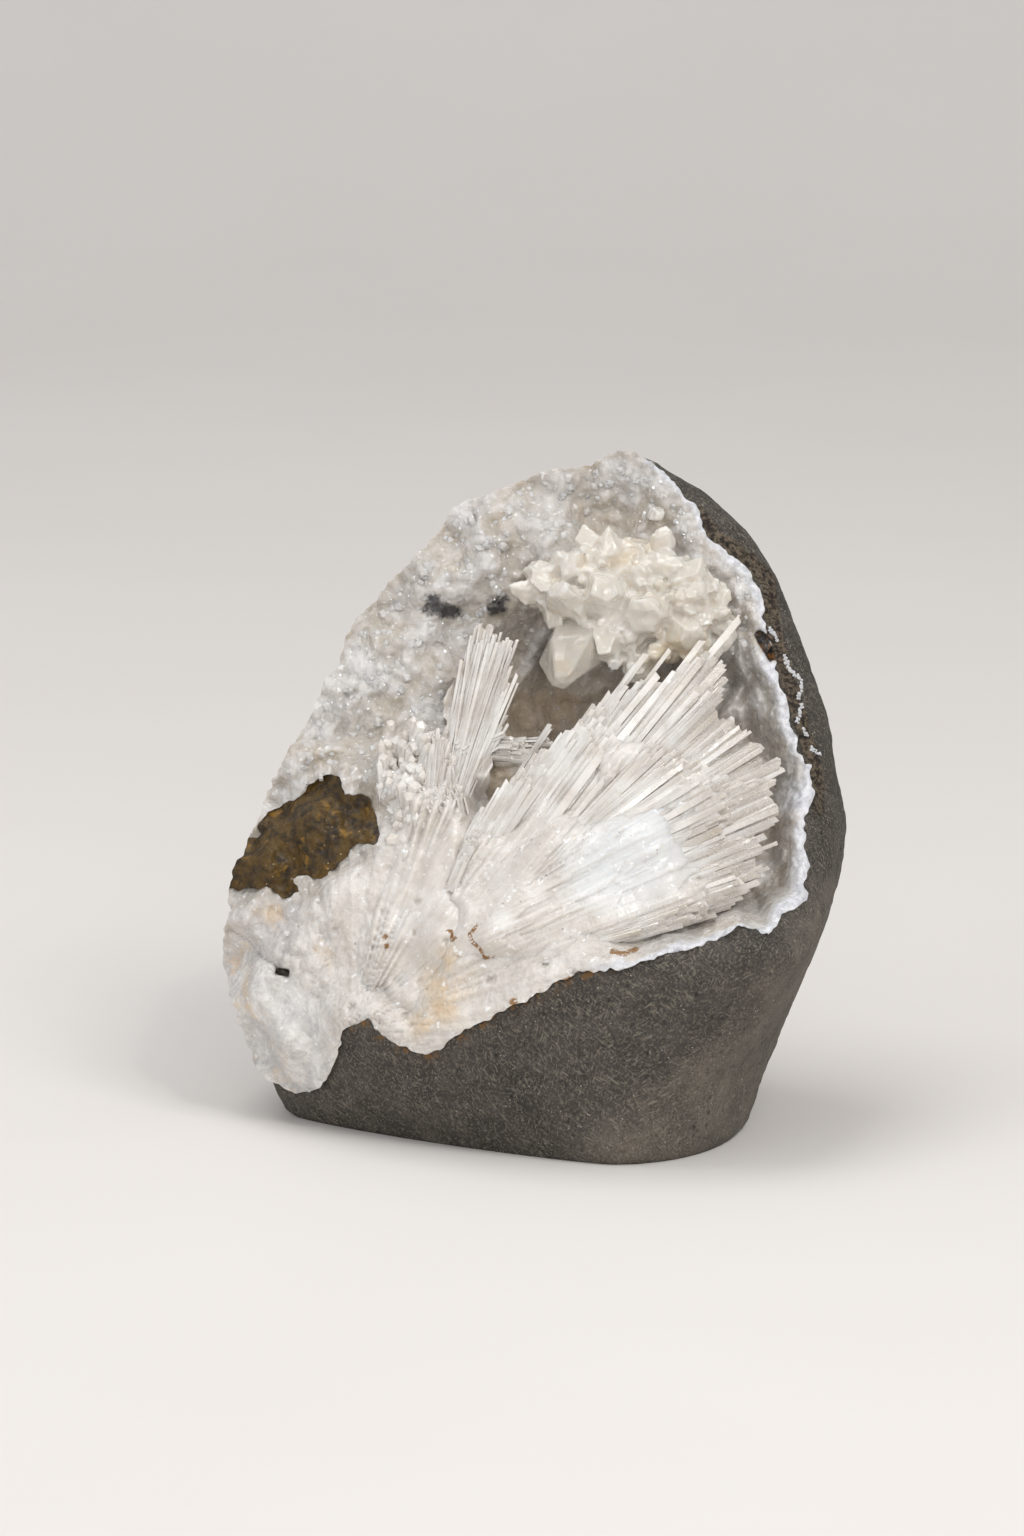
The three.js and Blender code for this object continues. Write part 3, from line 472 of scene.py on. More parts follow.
# Boulder
def smooth_sections():
    """The level sections drawn again in fine steps of height, with smooth curves between them."""
    heights = SECTIONS[:, 0]
    slopes = np.gradient(SECTIONS, heights, axis=0) * SLOPE_SHARE
    fine = np.concatenate([[0, 0.35, 0.8], np.linspace(FOOT_HEIGHT, heights[-1], SECTION_ROWS)])
    i = np.clip(np.searchsorted(heights, fine, side="right") - 1, 0, len(heights) - 2)
    span = heights[i + 1] - heights[i]
    t = ((fine - heights[i]) / span)[:, None]
    span = span[:, None]
    h00, h10 = 2 * t**3 - 3 * t**2 + 1, t**3 - 2 * t**2 + t
    h01, h11 = -2 * t**3 + 3 * t**2, t**3 - t**2
    rows = h00 * SECTIONS[i] + h10 * span * slopes[i] + h01 * SECTIONS[i + 1] + h11 * span * slopes[i + 1]
    rows[:, 0] = fine
    return rows


FINE_SECTIONS = smooth_sections()


def rock_depth(across, up):
    """Depth of the boulder's unbroken front at places on the face."""
    columns = FINE_SECTIONS.T

    def inside_front(deep):
        points = stand(across, up, deep)
        y = points[:, 1] - SHIFT
        z = points[:, 2]
        side = [np.interp(z, columns[0], column) for column in columns]
        on_right = across > side[3]
        side_x = np.where(on_right, side[5], side[1])
        side_y = np.where(on_right, side[6], side[2])
        roundness = np.where(on_right, side[10], side[9])
        share = np.abs((across - side[3]) / (side_x - side[3]))
        near_share = np.maximum(0, (side_y - y) / (side_y - side[4]))
        return (z >= 0) & (share ** (2 / roundness) + near_share ** (2 / roundness) < 1)

    deep = np.full(len(across), float(SEARCH_TO))
    found = np.zeros(len(across), bool)
    for step in np.arange(SEARCH_FROM, SEARCH_TO, SEARCH_STEP):
        hit = inside_front(np.full(len(across), step)) & ~found
        deep[hit] = step
        found |= hit
    low = deep - SEARCH_STEP
    for _ in range(6):
        middle = (low + deep) / 2
        hit = inside_front(middle)
        deep = np.where(hit & found, middle, deep)
        low = np.where(hit & found, low, middle)
    return deep


def crust_depth(across, up):
    """Depth of the crust's surface before its fine relief."""
    wall = depth_from(WALL_PLACES, across, up)
    to_rim = distance_to(RIM_OUTLINE, across, up)
    depth = wall.copy()
    close = to_rim < RIM_WIDTH
    rock = rock_depth(across[close], up[close]) - RIM_PROUD
    rim = np.minimum(rock, wall[close] + RIM_DROP)
    depth[close] = lerp(rim, wall[close], smoothstep(to_rim[close], 0, RIM_WIDTH))
    return depth


def crust_back(across, up):
    return crust_depth(across, up) + CRUST_THICKNESS


# The regions of the crust
LOBE_REGION = [[-55, 4], [-55, 38], [-47, 39], [-38, 40], [-30, 40], [-29, 20], [-18, 10], [-33, 3]]
MASSIVE_REGION = [
    [-34, 8], [-34, 42], [-22, 48], [-8, 44], [2, 38], [12, 33.5], [19, 32.5], [16, 26], [4, 22], [-8, 14],
    [-20, 8],
]
WAXY_LOBE = [[-52, 27], [-48.5, 31.5], [-44, 27.5], [-41, 25.5], [-36, 20], [-33, 10], [-38, 3], [-50, 6]]
LOBE_GROOVE = [[-51.5, 33.2], [-48.3, 31.4], [-46, 28.6], [-43.6, 27.2]]
LOBE_PIT = [[-43.9, 25.9], [-43.5, 27.1], [-41.2, 26.6], [-41.5, 25.3]]
MASS_SURROUND = [[-36, 44], [-27, 48], [-24, 40], [-24, 14], [-33, 12], [-38, 26]]
AMBER_HOLE = [[37.2, 83.4], [38.2, 84.3], [39.6, 83.4], [40.3, 81.4], [41, 79.2], [39.9, 78.4], [38.9, 80.2],
              [38, 81.6]]
FOLD = [[9.5, 111], [9, 107], [10.5, 103.5], [13, 101]]
DARK_PATCHES = [
    [[-19.8, 86.5], [-19, 90.6], [-16.2, 91.4], [-14, 89.4], [-11.8, 88.6], [-11.4, 86.2], [-15, 85.2]],
    [[-9.4, 87.4], [-8.2, 90.4], [-5, 91.4], [-3.2, 89.8], [-4.4, 86.2], [-7.4, 86]],
]


def dark_mask(across, up):
    return np.maximum(*(within(outline, across, up, 3.4) for outline in DARK_PATCHES))


def bare_pits(points):
    """Depth of the few small pits in the massive mineral."""
    return 0.8 * smoothstep(lumps(points, 4.2, 57), 0.93, 0.97)


def relief(across, up, base):
    """Height of the crust's lumps and folds over its plain surface, in millimetres."""
    points = stand(across, up, base)
    lobe = within(LOBE_REGION, across, up, 7)
    massive = within(MASSIVE_REGION, across, up, 6)
    waxy = within(WAXY_LOBE, across, up, 2.5)
    rim = 1 - smoothstep(distance_to(RIM_OUTLINE, across, up), 0.8, 4)
    druse = (1 - np.maximum(lobe, massive)) * (1 - 0.7 * rim)
    warped = points + 0.8 * np.stack([smooth_noise(points, 2.6, 101 + i) for i in range(3)], axis=1)
    size_change = 0.75 + 0.5 * smooth_noise(points, 12.0, 107)
    height = druse * size_change * (
        1.2 * layered_noise(points, 9.0, 3, 2)
        + 1.7 * (lumps(warped, 4.6, 11) - 0.6)
        + 1.3 * (lumps(warped, 2.6, 17) - 0.6)
        + 0.4 * (lumps(warped, 1.4, 19) - 0.6)
    )
    sugary = 1.1 * (lumps(warped, 2.8, 5) - 0.6) + 0.5 * (lumps(warped, 1.3, 6) - 0.6)
    height += lobe * (1 - massive) * (0.9 * layered_noise(points, 8.0, 21) + (1 - waxy) * sugary)
    swollen = 0.7 + 0.35 * (lumps(warped, 3.4, 24) - 0.6) + 0.2 * layered_noise(points, 1.6, 26, 2)
    height += lobe * waxy * swollen
    fibres = streaks(across, up, MASS_ROOT, 1.6, 84) + 0.5 * streaks(across, up, MASS_ROOT, 0.7, 86)
    near_mass = np.maximum(massive, within(MASS_SURROUND, across, up, 6))
    height += massive * (0.6 * layered_noise(points, 7.0, 23) + 0.25 * (lumps(warped, 2.4, 25) - 0.6))
    height += near_mass * (0.38 * fibres - bare_pits(points))
    beads = 0.8 * (lumps(points, 1.3, 31) - 0.5) + 0.4 * layered_noise(points, 2.2, 33)
    height += rim * (1 - massive) * beads
    height -= 1.5 * near_chain(FOLD, across, up, 2.4)
    height -= 1.8 * near_chain(LOBE_GROOVE, across, up, 0.9)
    height -= 1.6 * within(AMBER_HOLE, across, up, 1.2)
    height -= 2.2 * within(LOBE_PIT, across, up, 0.5)
    height -= 0.9 * dark_mask(across, up)
    return height


def fine_crust_depth(across, up):
    base = crust_depth(across, up)
    return base - relief(across, up, base)


PATCH_EDGE = ragged(PATCH_OUTLINE, 0.3, 0.75, 95)
RAGGED_CRUST = ragged(CRUST_OUTLINE, 0.35, 0.7, 4)


def rim_mask(obj):
    """How much each point is part of the white rim, which changes in width."""
    points = positions(obj)
    across, up, _ = face_places(points)
    broad = 1 + 0.9 * smooth_noise(points, 7.0, 35) + 0.5 * smooth_noise(points, 2.0, 37)
    broad *= 1 + 0.7 * smoothstep(across, 38, 43) * (1 - smoothstep(up, 68, 78))
    broad *= 1 + 0.8 * smoothstep(up, 86, 90) * (1 - smoothstep(up, 95, 98)) - 0.45 * smoothstep(up, 97, 101)
    to_rim = distance_to(RIM_OUTLINE, across, up)
    return (1 - smoothstep(to_rim / np.maximum(broad, 0.35), 0.7, 1.9)) * smoothstep(across, 5, 14)


def build_crust():
    crust = face_block("crust", fine_crust_depth, crust_back, *CRUST_GRID)
    combine(crust, face_prism(RAGGED_CRUST), "INTERSECT")
    combine(crust, face_prism(PATCH_EDGE, far=14.0), "DIFFERENCE")
    across, up, deep = face_places(positions(crust))
    # Painted shade: how far each point lies below the crust's plain surface, which the material darkens
    # towards beige
    paint(crust, "crevice_shade", 1 - smoothstep(crust_depth(across, up) - deep, -1.0, 0.7))
    paint(crust, "rim", rim_mask(crust))
    paint(crust, "lobe", within(LOBE_REGION, across, up, 8))
    paint(crust, "massive", within(MASSIVE_REGION, across, up, 5))
    return crust


def boulder_points():
    """The boulder as rings of points, from the base up."""
    quarter = np.linspace(0, math.pi / 2, SPOKES, endpoint=False)
    rings = []
    for z, left_x, left_y, near_x, near_y, right_x, right_y, far_x, far_y, *roundness_pair in FINE_SECTIONS:
        arcs = [
            (left_x, left_y, near_x, near_y, roundness_pair[0], quarter, 0),
            (right_x, right_y, near_x, near_y, roundness_pair[1], math.pi / 2 - quarter, 1),
            (right_x, right_y, far_x, far_y, FAR_ROUNDNESS, quarter, 2),
            (left_x, left_y, far_x, far_y, FAR_ROUNDNESS, math.pi / 2 - quarter, 3),
        ]
        ring = []
        for side_x, side_y, end_x, end_y, roundness, turn, arc in arcs:
            cosine = np.clip(np.cos(turn), 0, 1)
            sine = np.clip(np.sin(turn), 0, 1)
            x = end_x + (side_x - end_x) * cosine**roundness
            y = side_y + (end_y - side_y) * sine**roundness
            if arc > 1:
                around = turn if arc == 2 else math.pi - turn
                waves = np.sin(2.6 * around + z / 13) + 0.7 * np.cos(4.1 * around - z / 9)
                y = y + SWELL * waves * sine**2
            ring.append(np.stack([x, y + SHIFT, np.full(len(x), z)], axis=1))
        ring = np.concatenate(ring)
        middle = ring.mean(axis=0)
        if z < FOOT_HEIGHT:
            share = 1 - FOOT_INSET * (1 - z / FOOT_HEIGHT) ** 2
            ring[:, :2] = middle[:2] + (ring[:, :2] - middle[:2]) * share
        rings.append(ring)
    top = rings[-1]
    middle = top.mean(axis=0)
    for share in (0.86, 0.68, 0.45, 0.2):
        ring = middle + (top - middle) * share
        ring[:, 2] = top[0, 2] + DOME_HEIGHT * (1 - share**2)
        rings.append(ring)
    return rings


BAND_CHAIN = [[28, 104], [31, 100], [36, 96.5], [40, 92.5], [40.5, 86], [42, 79], [44, 72], [46, 66],
              [47.5, 60], [48, 54]]
VEIN_KNOTS = [[39.8, 84], [43.2, 78.6], [44.7, 75.6], [45.6, 71.3], [45.8, 68.5], [47.1, 65.8], [47.5, 62.9]]
VEIN_CHAIN = ragged(VEIN_KNOTS, 0.22, 0.7, 63, closed=False)
BAND_HOLES = [[39.5, 82.5, 1.6, 2.4], [40.6, 80.4, 1.5, 2.2], [37.2, 95.0, 1.3, 1.0], [46.3, 66, 1.2, 1.0]]
# The lower right of the rock, painted paler: partly its own paler colour, partly painted light on the side
# the key light falls on
PALE_AND_LIT_REGION = [[70, 45], [48, 40], [40, 28], [30, 14], [22, 8], [14, 2], [4, -8], [70, -8]]
FRONT_PAINT = 6  # how far behind the front the paint of the front and of the side reaches
SIDE_PAINT = 34
POCKET_OVERLAP = 0.6


def build_boulder():
    rings = boulder_points()
    spokes = len(rings[0])
    points = np.concatenate(rings)
    middle = np.concatenate([np.tile(ring.mean(axis=0), (spokes, 1)) for ring in rings])
    outward = points - middle
    outward /= np.linalg.norm(outward, axis=1)[:, None] + 1e-9
    at = np.arange(len(rings) * spokes).reshape(len(rings), spokes)
    after = np.roll(at, -1, axis=1)
    quads = np.stack([at[:-1], after[:-1], after[1:], at[1:]], axis=-1).reshape(-1, 4)
    across, up, deep = face_places(points)
    front = smoothstep(-outward[:, 1], -0.2, 0.3)
    band = near_chain(BAND_CHAIN, across, up, 1.9) * front
    height = 0.5 * layered_noise(points, 14.0, 41) + 0.16 * layered_noise(points, 1.8, 47)
    pits = lumps(points, 3.2, 53)
    height -= 0.55 * smoothstep(pits, 0.955, 0.985) * (0.4 + 0.6 * (smooth_noise(points, 9, 55) > 0))
    height += band * (layered_noise(points, 2.4, 61) - 0.7)
    height -= sum(each_spot(BAND_HOLES, across, up)) * front
    keep_flat = smoothstep(points[:, 2], 0.0, 1.5)
    points = points + outward * (height * keep_flat)[:, None]
    points[:, 2] = np.maximum(points[:, 2], 0)
    bottom, top = len(points), len(points) + 1
    points = np.concatenate([points, [rings[0].mean(axis=0)], [rings[-1].mean(axis=0)]])
    points[top, 2] += 0.1
    underside = np.stack([np.full(spokes, bottom), after[0], at[0]], axis=-1)
    cap = np.stack([np.full(spokes, top), at[-1], after[-1]], axis=-1)
    rock = make_object("rock", points, [quads, underside, cap])
    pocket = face_block(
        "pocket", lambda a, u: np.full(len(a), IN_FRONT), lambda a, u: crust_back(a, u) - POCKET_OVERLAP,
        *WHOLE_GRID,
    )
    combine(pocket, face_prism(RAGGED_CRUST), "INTERSECT")
    combine(rock, pocket, "DIFFERENCE")
    across, up, deep = face_places(positions(rock))
    behind_front = deep - rock_depth(across, up)
    on_front = smoothstep(FRONT_PAINT - behind_front, 0, 3)
    paint(rock, "band", near_chain(BAND_CHAIN, across, up, 2.0) * on_front)
    paint(rock, "amber", within(AMBER_HOLE, across, up, 1.0) * on_front)
    # Paler rock on the lower right side: partly its own colour, partly painted light
    on_side = smoothstep(SIDE_PAINT - behind_front, 0, SIDE_PAINT)
    paint(rock, "pale", within(PALE_AND_LIT_REGION, across, up, 14) * on_side)
    paint(rock, "edge", near_chain(LOWER_RIM, across, up, 1.1) * on_front)
    return rock


# Crystals
def frames(directions, rng):
    """Two side directions for each direction, turned at random."""
    helper = np.where(np.abs(directions[:, :1]) < 0.8, [[1.0, 0, 0]], [[0, 0, 1.0]])
    side = unit(np.cross(directions, helper))
    other = np.cross(directions, side)
    turn = rng.uniform(0, 2 * math.pi, len(directions))[:, None]
    return side * np.cos(turn) + other * np.sin(turn), other * np.cos(turn) - side * np.sin(turn)


def points_of_quartz(roots, directions, radii, heights, rng, sides=6, shoulder=0.25):
    """Short pointed crystals: a prism with a pointed end, one for each root."""
    side, other = frames(directions, rng)
    count = len(roots)
    rings = []
    squeeze = rng.uniform(0.75, 1.0, (count, 1))
    for level, spread in ((-1.0, 1.0), (shoulder, 0.95)):
        for i in range(sides):
            angle = 2 * math.pi * i / sides
            wobble = rng.uniform(0.88, 1.12, (count, 1))
            out = side * math.cos(angle) + other * math.sin(angle) * squeeze
            height = level * heights[:, None] if level > 0 else -radii[:, None] * 0.8
            rings.append(roots + directions * height + out * radii[:, None] * spread * wobble)
    lean = side * rng.uniform(-0.3, 0.3, (count, 1)) + other * rng.uniform(-0.3, 0.3, (count, 1))
    tip = roots + directions * heights[:, None] + lean * radii[:, None]
    points = np.stack(rings + [tip], axis=1)
    per = 2 * sides + 1
    start = (np.arange(count) * per)[:, None]
    quads, tris = [], []
    for i in range(sides):
        j = (i + 1) % sides
        quads.append(start + np.array([[i, j, sides + j, sides + i]]))
        tris.append(start + np.array([[sides + i, sides + j, 2 * sides]]))
    return points.reshape(-1, 3), [np.concatenate(quads), np.concatenate(tris)], per


START_WIDTH = 0.9  # width and thickness of a blade at its start, as a share of those at its end


def blades(starts, ends, widths, thicknesses, rolls, chisels):
    """Flat blades with a slanting end, one for each start and end. Their points go start first."""
    direction = unit(ends - starts)
    side = unit(np.cross(direction, [0.0, -1.0, 0.0]))
    flat = np.cross(side, direction)
    turn = rolls[:, None]
    side, flat = side * np.cos(turn) + flat * np.sin(turn), flat * np.cos(turn) - side * np.sin(turn)
    corners = []
    for place, scale in ((starts, START_WIDTH), (ends, 1.0)):
        for sx, sz in ((-1, -1), (1, -1), (1, 1), (-1, 1)):
            aside = (sx * widths * scale / 2)[:, None]
            through = (sz * thicknesses * scale / 2)[:, None]
            corner = place + side * aside + flat * through
            if place is ends:
                corner = corner - direction * (np.maximum(0, chisels * sx) * widths)[:, None]
            corners.append(corner)
    points = np.stack(corners, axis=1)
    start = (np.arange(len(starts)) * 8)[:, None]
    quads = [start + np.array([q]) for q in
             ([0, 1, 5, 4], [1, 2, 6, 5], [2, 3, 7, 6], [3, 0, 4, 7], [4, 5, 6, 7], [3, 2, 1, 0])]
    return points.reshape(-1, 3), np.concatenate(quads)


def scatter(outline, count, rng):
    """Random places inside an outline, up to that many."""
    knots = np.array(outline)
    places = rng.uniform(knots.min(axis=0), knots.max(axis=0), (count * 6, 2))
    places = places[inside(outline, places[:, 0], places[:, 1])]
    return places[:count, 0], places[:count, 1]


def wall_normals(across, up, depth, reach=0.8):
    """Directions square to the surface that a depth function gives, towards the viewer."""
    def at(aside, above):
        return stand(across + aside, up + above, depth(across + aside, up + above))

    return unit(np.cross(at(reach, 0) - at(-reach, 0), at(0, reach) - at(0, -reach)))


DRUSE_REGIONS = [
    # outline, crystals, smallest and largest radius, glints
    ([[-44, 60], [-36, 76], [-31, 86], [-22, 96], [-14, 106], [0, 111.5], [9, 113], [12, 106], [8, 100],
      [-4, 98], [-3, 90], [-5, 84], [-6, 76], [-12, 73], [-24, 66], [-30, 60]], 230, 0.6, 1.3, 60),
    ([[9, 113], [16, 114.5], [19, 112], [27, 104], [37, 93], [38.5, 84], [37, 78], [33, 80], [35, 88],
      [28, 98], [20, 102], [12, 104]], 90, 0.5, 1.1, 22),
    ([[-52, 40], [-46, 55], [-44, 60], [-30, 62], [-24, 64], [-22, 58], [-27, 56], [-34, 60], [-44, 56],
      [-50, 49]], 30, 0.5, 1.1, 8),
    ([[-8, 72], [-6, 84], [6, 82], [14, 80], [30, 78], [36, 70], [30, 70], [12, 66], [2, 66], [-4, 68]],
     40, 0.5, 1.1, 10),
]
EDGE_FREE = 1.5  # width along the crust's edge that is free of single crystals
GLINT_FACING = np.array([0.157, -0.841, 0.517])  # between the front and the small bright light


def druse_group(outline, count, radii_range, heights_range, sunk, rng, facing=None):
    """Small crystals on the crust. They stand square to it, or face one way if facing is given."""
    across, up = scatter(outline, count, rng)
    clear = edge_distance(CRUST_OUTLINE, across, up) > EDGE_FREE
    across, up = across[clear], up[clear]
    base = crust_depth(across, up)
    normals = wall_normals(across, up, crust_depth)
    roots = stand(across, up, base - relief(across, up, base))
    if facing is None:
        directions = normals + rng.normal(0, 0.35, (len(across), 3))
    else:
        directions = facing + rng.normal(0, 0.03, (len(across), 3))
    directions = unit(directions)
    radii = lerp(*radii_range, rng.uniform(0, 1, len(across)) ** 2)
    heights = radii * rng.uniform(*heights_range, len(across))
    return points_of_quartz(roots - directions * (sunk * radii)[:, None], directions, radii, heights, rng)


def build_druse(rock):
    rng = np.random.default_rng(7)
    pieces = []
    for outline, count, small, large, glints in DRUSE_REGIONS:
        points, faces, _ = druse_group(outline, count, (small, large), (0.35, 0.7), 0.35, rng)
        pieces.append((points, faces))
        points, faces, _ = druse_group(outline, glints, (0.18, 0.36), (0.02, 0.05), -0.5, rng, GLINT_FACING)
        pieces.append((points, faces, {"glint": np.full(len(points), 1.0)}))
    pieces.append(vein_crystals(rock, rng))
    druse = join("druse", pieces)
    across, up, _ = face_places(positions(druse))
    paint(druse, "lobe", within(LOBE_REGION, across, up, 8))
    paint(druse, "rim", rim_mask(druse))
    return druse


def vein_crystals(rock, rng):
    """The thin broken white vein on the rock beside the rim."""
    chain = np.array(VEIN_CHAIN)
    across, up = np.repeat(chain, 3, axis=0).T
    across = across + rng.normal(0, 0.16, len(across))
    up = up + rng.normal(0, 0.16, len(up))
    kept = smooth_noise(np.stack([across, up, np.zeros(len(up))], axis=1), 1.6, 67) > -0.25
    roots = []
    for start in stand(across[kept], up[kept], IN_FRONT):
        hit, place, _, _ = rock.ray_cast(Vector(start * MM), Vector(INWARD))
        if hit:
            roots.append(np.array(place) / MM)
    roots = np.array(roots)
    directions = unit(-INWARD + rng.normal(0, 0.5, (len(roots), 3)))
    radii = rng.uniform(0.12, 0.34, len(roots))
    points, faces, _ = points_of_quartz(roots, directions, radii, radii * 0.8, rng, 5)
    return points, faces, {"glint": np.full(len(points), 0.5)}


def from_table(table, angle):
    """A value of the fan at an angle, between the rows of a table."""
    return np.interp(angle, *np.array(table).T)


def fan_tip(angle, share):
    reach = from_table(FAN_REACH, angle) * share
    return FAN_ROOT[0] + reach * np.cos(np.radians(angle)), FAN_ROOT[1] + reach * np.sin(np.radians(angle))


def fan_depth(across, up):
    return depth_from(FAN_PLACES, across, up)


FAN_BUNDLES = [
    # bundles, blades in each, angles, reach, lift, width of a blade, share of the reach that shows
    (72, 8, (0.5, 86), (0.95, 1.0), 0.0, (0.5, 1.3), 0.36),
    (60, 7, (1, 84), (0.88, 0.97), 0.5, (0.5, 1.3), 0.34),
    (30, 6, (30, 62), (0.8, 0.92), 0.9, (0.6, 1.5), 0.3),
    (6, 3, (47, 64), (1.02, 1.12), 0.3, (0.6, 1.2), 0.3),
    (16, 2, (3, 44), (0.98, 1.06), 0.6, (0.5, 1.1), 0.4),
]
START_DEPTH = 1.6  # of a blade's start below the fan's surface


def fan_pieces(rng):
    """The blades of the fan in bundles. They start inside its body and end in the open."""
    pieces = []
    for bundles, blades_each, angles, reaches, lift, widths, shown in FAN_BUNDLES:
        for i in range(bundles):
            middle = lerp(*angles, (i + rng.uniform(0.2, 0.8)) / bundles)
            bundle_reach = rng.uniform(*reaches)
            bundle_roll = rng.uniform(-0.35, 0.35)
            bundle_lift = lift + rng.uniform(-0.5, 0.5)
            spread = 1.4 * (angles[1] - angles[0]) / bundles
            angle = np.clip(middle + rng.uniform(-0.5, 0.5, blades_each) * spread, 0.3, 86)
            share = bundle_reach * rng.uniform(0.87, 1.03, blades_each)
            across, up = fan_tip(angle, share)
            slant = np.radians(from_table(FAN_SLANT, angle) + rng.normal(0, 0.9, blades_each))
            length = from_table(FAN_REACH, angle) * shown * rng.uniform(0.8, 1.1, blades_each)
            start_across = across - length * np.cos(slant)
            start_up = up - length * np.sin(slant)
            deep_start = fan_core_depth(start_across, start_up) + START_DEPTH
            deep_end = fan_depth(across, up) - bundle_lift * 0.6 + rng.uniform(-0.6, 0.6, blades_each)
            points, faces = blades(
                stand(start_across, start_up, deep_start), stand(across, up, deep_end),
                rng.uniform(*widths, blades_each), rng.uniform(0.5, 1.2, blades_each),
                bundle_roll + rng.uniform(-0.12, 0.12, blades_each), rng.uniform(-0.7, 0.7, blades_each),
            )
            tip = np.tile([0.0] * 4 + [1.0] * 4, blades_each) * (0.7 if lift > 0.6 else 1.0)
            tip *= 1 - 0.75 * smoothstep(middle, 44, 56)
            tone = np.repeat(rng.uniform(0, 1, blades_each), 8)
            pieces.append((points, faces, {"tip": tip, "tone": tone}))
    return pieces


def streaks(across, up, root, fine, seed):
    """Ridges that run out from a root, from -1 to 1."""
    angle = np.arctan2(up - root[1], across - root[0])
    radius = np.hypot(across - root[0], up - root[1])
    places = np.stack([angle * 60 / fine, radius / (fine * 14), np.zeros_like(angle)], axis=1)
    return layered_noise(places, 1.0, seed, 2)


# The massive milky part of the fan
MILKY_REGION = [[6, 39], [5, 46], [12, 53], [20, 56], [26, 54.5], [26, 50], [25, 44], [22, 40.5], [14, 37.5]]

# The fan's body is a stack of layers, each a row of flat strips that end at their own length
FAN_LAYERS = [
    # width of a strip in degrees, shortest and longest strip as shares of the fan's reach, thickness
    (1.3, 0.82, 0.95, 0.5),
    (1.7, 0.66, 0.92, 0.5),
    (1.5, 0.5, 0.86, 0.45),
    (2.1, 0.32, 0.74, 0.45),
    (1.8, 0.2, 0.6, 0.4),
]
FAN_FOOT = [[13, 31.5], [2, 28], [-9, 28], [-16, 31]]
FAN_FUSED = [[5, 28.5], [-4, 27.5], [-11, 28], [-16, 31], [-15, 37]]  # where its body runs into the crust
FAN_FLOOR = 1.3  # depth of the fan's lowest layer below its plain surface


def blade_line(across, up):
    """The angle of the blade line that runs through each place of the fan."""
    angles = np.linspace(-8, 94, 240)
    radius = 55.0
    slant = np.radians(from_table(FAN_SLANT, angles))
    line_across = FAN_ROOT[0] + radius * np.cos(np.radians(angles))
    line_up = FAN_ROOT[1] + radius * np.sin(np.radians(angles))
    share = np.zeros(len(across))
    for angle_slant, x, y in zip(slant, line_across, line_up):
        beside = math.cos(angle_slant) * (up - y) - math.sin(angle_slant) * (across - x)
        share += np.clip(beside / 0.4 + 0.5, 0, 1)
    return angles[0] + share * (angles[1] - angles[0])


def fan_core_depth(across, up):
    line = blade_line(across, up)
    polar = np.degrees(np.arctan2(up - FAN_ROOT[1], across - FAN_ROOT[0]))
    share = np.hypot(across - FAN_ROOT[0], up - FAN_ROOT[1]) / from_table(FAN_REACH, polar)
    plain = fan_depth(across, up)
    points = stand(across, up, plain)
    milky_part = within(MILKY_REGION, across, up, 2.2)
    height = np.zeros(len(across))
    for layer, (width, shortest, longest, thickness) in enumerate(FAN_LAYERS):
        place = line / width + 0.37 * layer
        strip = np.floor(place).astype(np.int64)
        within_strip = place - strip
        none = np.zeros_like(strip)
        chisel = (lattice(strip, none, none + 3, layer) - 0.5) * 0.05
        end = lerp(shortest, longest, lattice(strip, none, none, layer)) + chisel * (within_strip - 0.5) * 2
        covered = smoothstep(end - share, 0, 0.006)
        ridge = 0.16 * (1 - (2 * within_strip - 1) ** 6) * covered
        tilt = 0.3 * (lattice(strip, none, none + 5, layer) - 0.5) * (within_strip - 0.5)
        height += (thickness * covered + ridge + tilt * covered) * (1 - 0.45 * milky_part)
        height += thickness * 0.45 * milky_part
    height += 0.25 * layered_noise(points, 4.0, 73)
    depth = plain + FAN_FLOOR - height
    free = smoothstep(distance_to(FAN_FUSED, across, up), 0.5, 4.5)
    return lerp(np.maximum(depth, crust_depth(across, up) + 0.2), depth, free)


def build_fan_core():
    outline = FAN_FOOT + [list(fan_tip(angle, 0.93)) for angle, _ in FAN_REACH[::-1]]
    core = face_block("fan_core", fan_core_depth, lambda a, u: fan_depth(a, u) + FAN_BODY, *FAN_GRID)
    return combine(core, face_prism(ragged(outline, 0.6, 0.5, 75)), "INTERSECT")


WAXY_MASS = [[-24, 12], [-24, 38], [-18, 49], [-12, 52], [-7, 50], [-7, 28], [-12, 12]]
MASS_FREE_UP = (54, 60)  # over these heights the mass turns from fused with the crust to standing free


def mass_depth(across, up):
    return depth_from(MASS_PLACES, across, up)


def mass_surface(across, up):
    """Depth of the mass with its ridges. It is fused with the crust along its lower edge."""
    depth = mass_depth(across, up)
    points = stand(across, up, depth)
    waxy = within(WAXY_MASS, across, up, 6)
    ridges = streaks(across, up, MASS_ROOT, 1.3, 81)
    height = (1.1 - 0.85 * waxy) * ridges + 0.6 * layered_noise(points, 6, 83) - bare_pits(points)
    height += (1 - 0.8 * waxy) * 0.6 * streaks(across, up, MASS_ROOT, 0.6, 82)
    height += (1 - 0.5 * waxy) * 0.6 * (lumps(points, 3.0, 85) - 0.6)
    fused = crust_depth(across, up) + 0.7
    to_edge = edge_distance(MASS_OUTLINE, across, up)
    free = np.maximum(smoothstep(to_edge, 0, 5), smoothstep(up, *MASS_FREE_UP))
    return lerp(np.maximum(depth, fused), depth, free) - height * np.maximum(free, 0.25)


def build_mass():
    mass = face_block("mass", mass_surface, lambda a, u: mass_depth(a, u) + MASS_BODY, *MASS_GRID)
    return combine(mass, face_prism(ragged(MASS_OUTLINE, 0.6, 0.9, 85)), "INTERSECT")


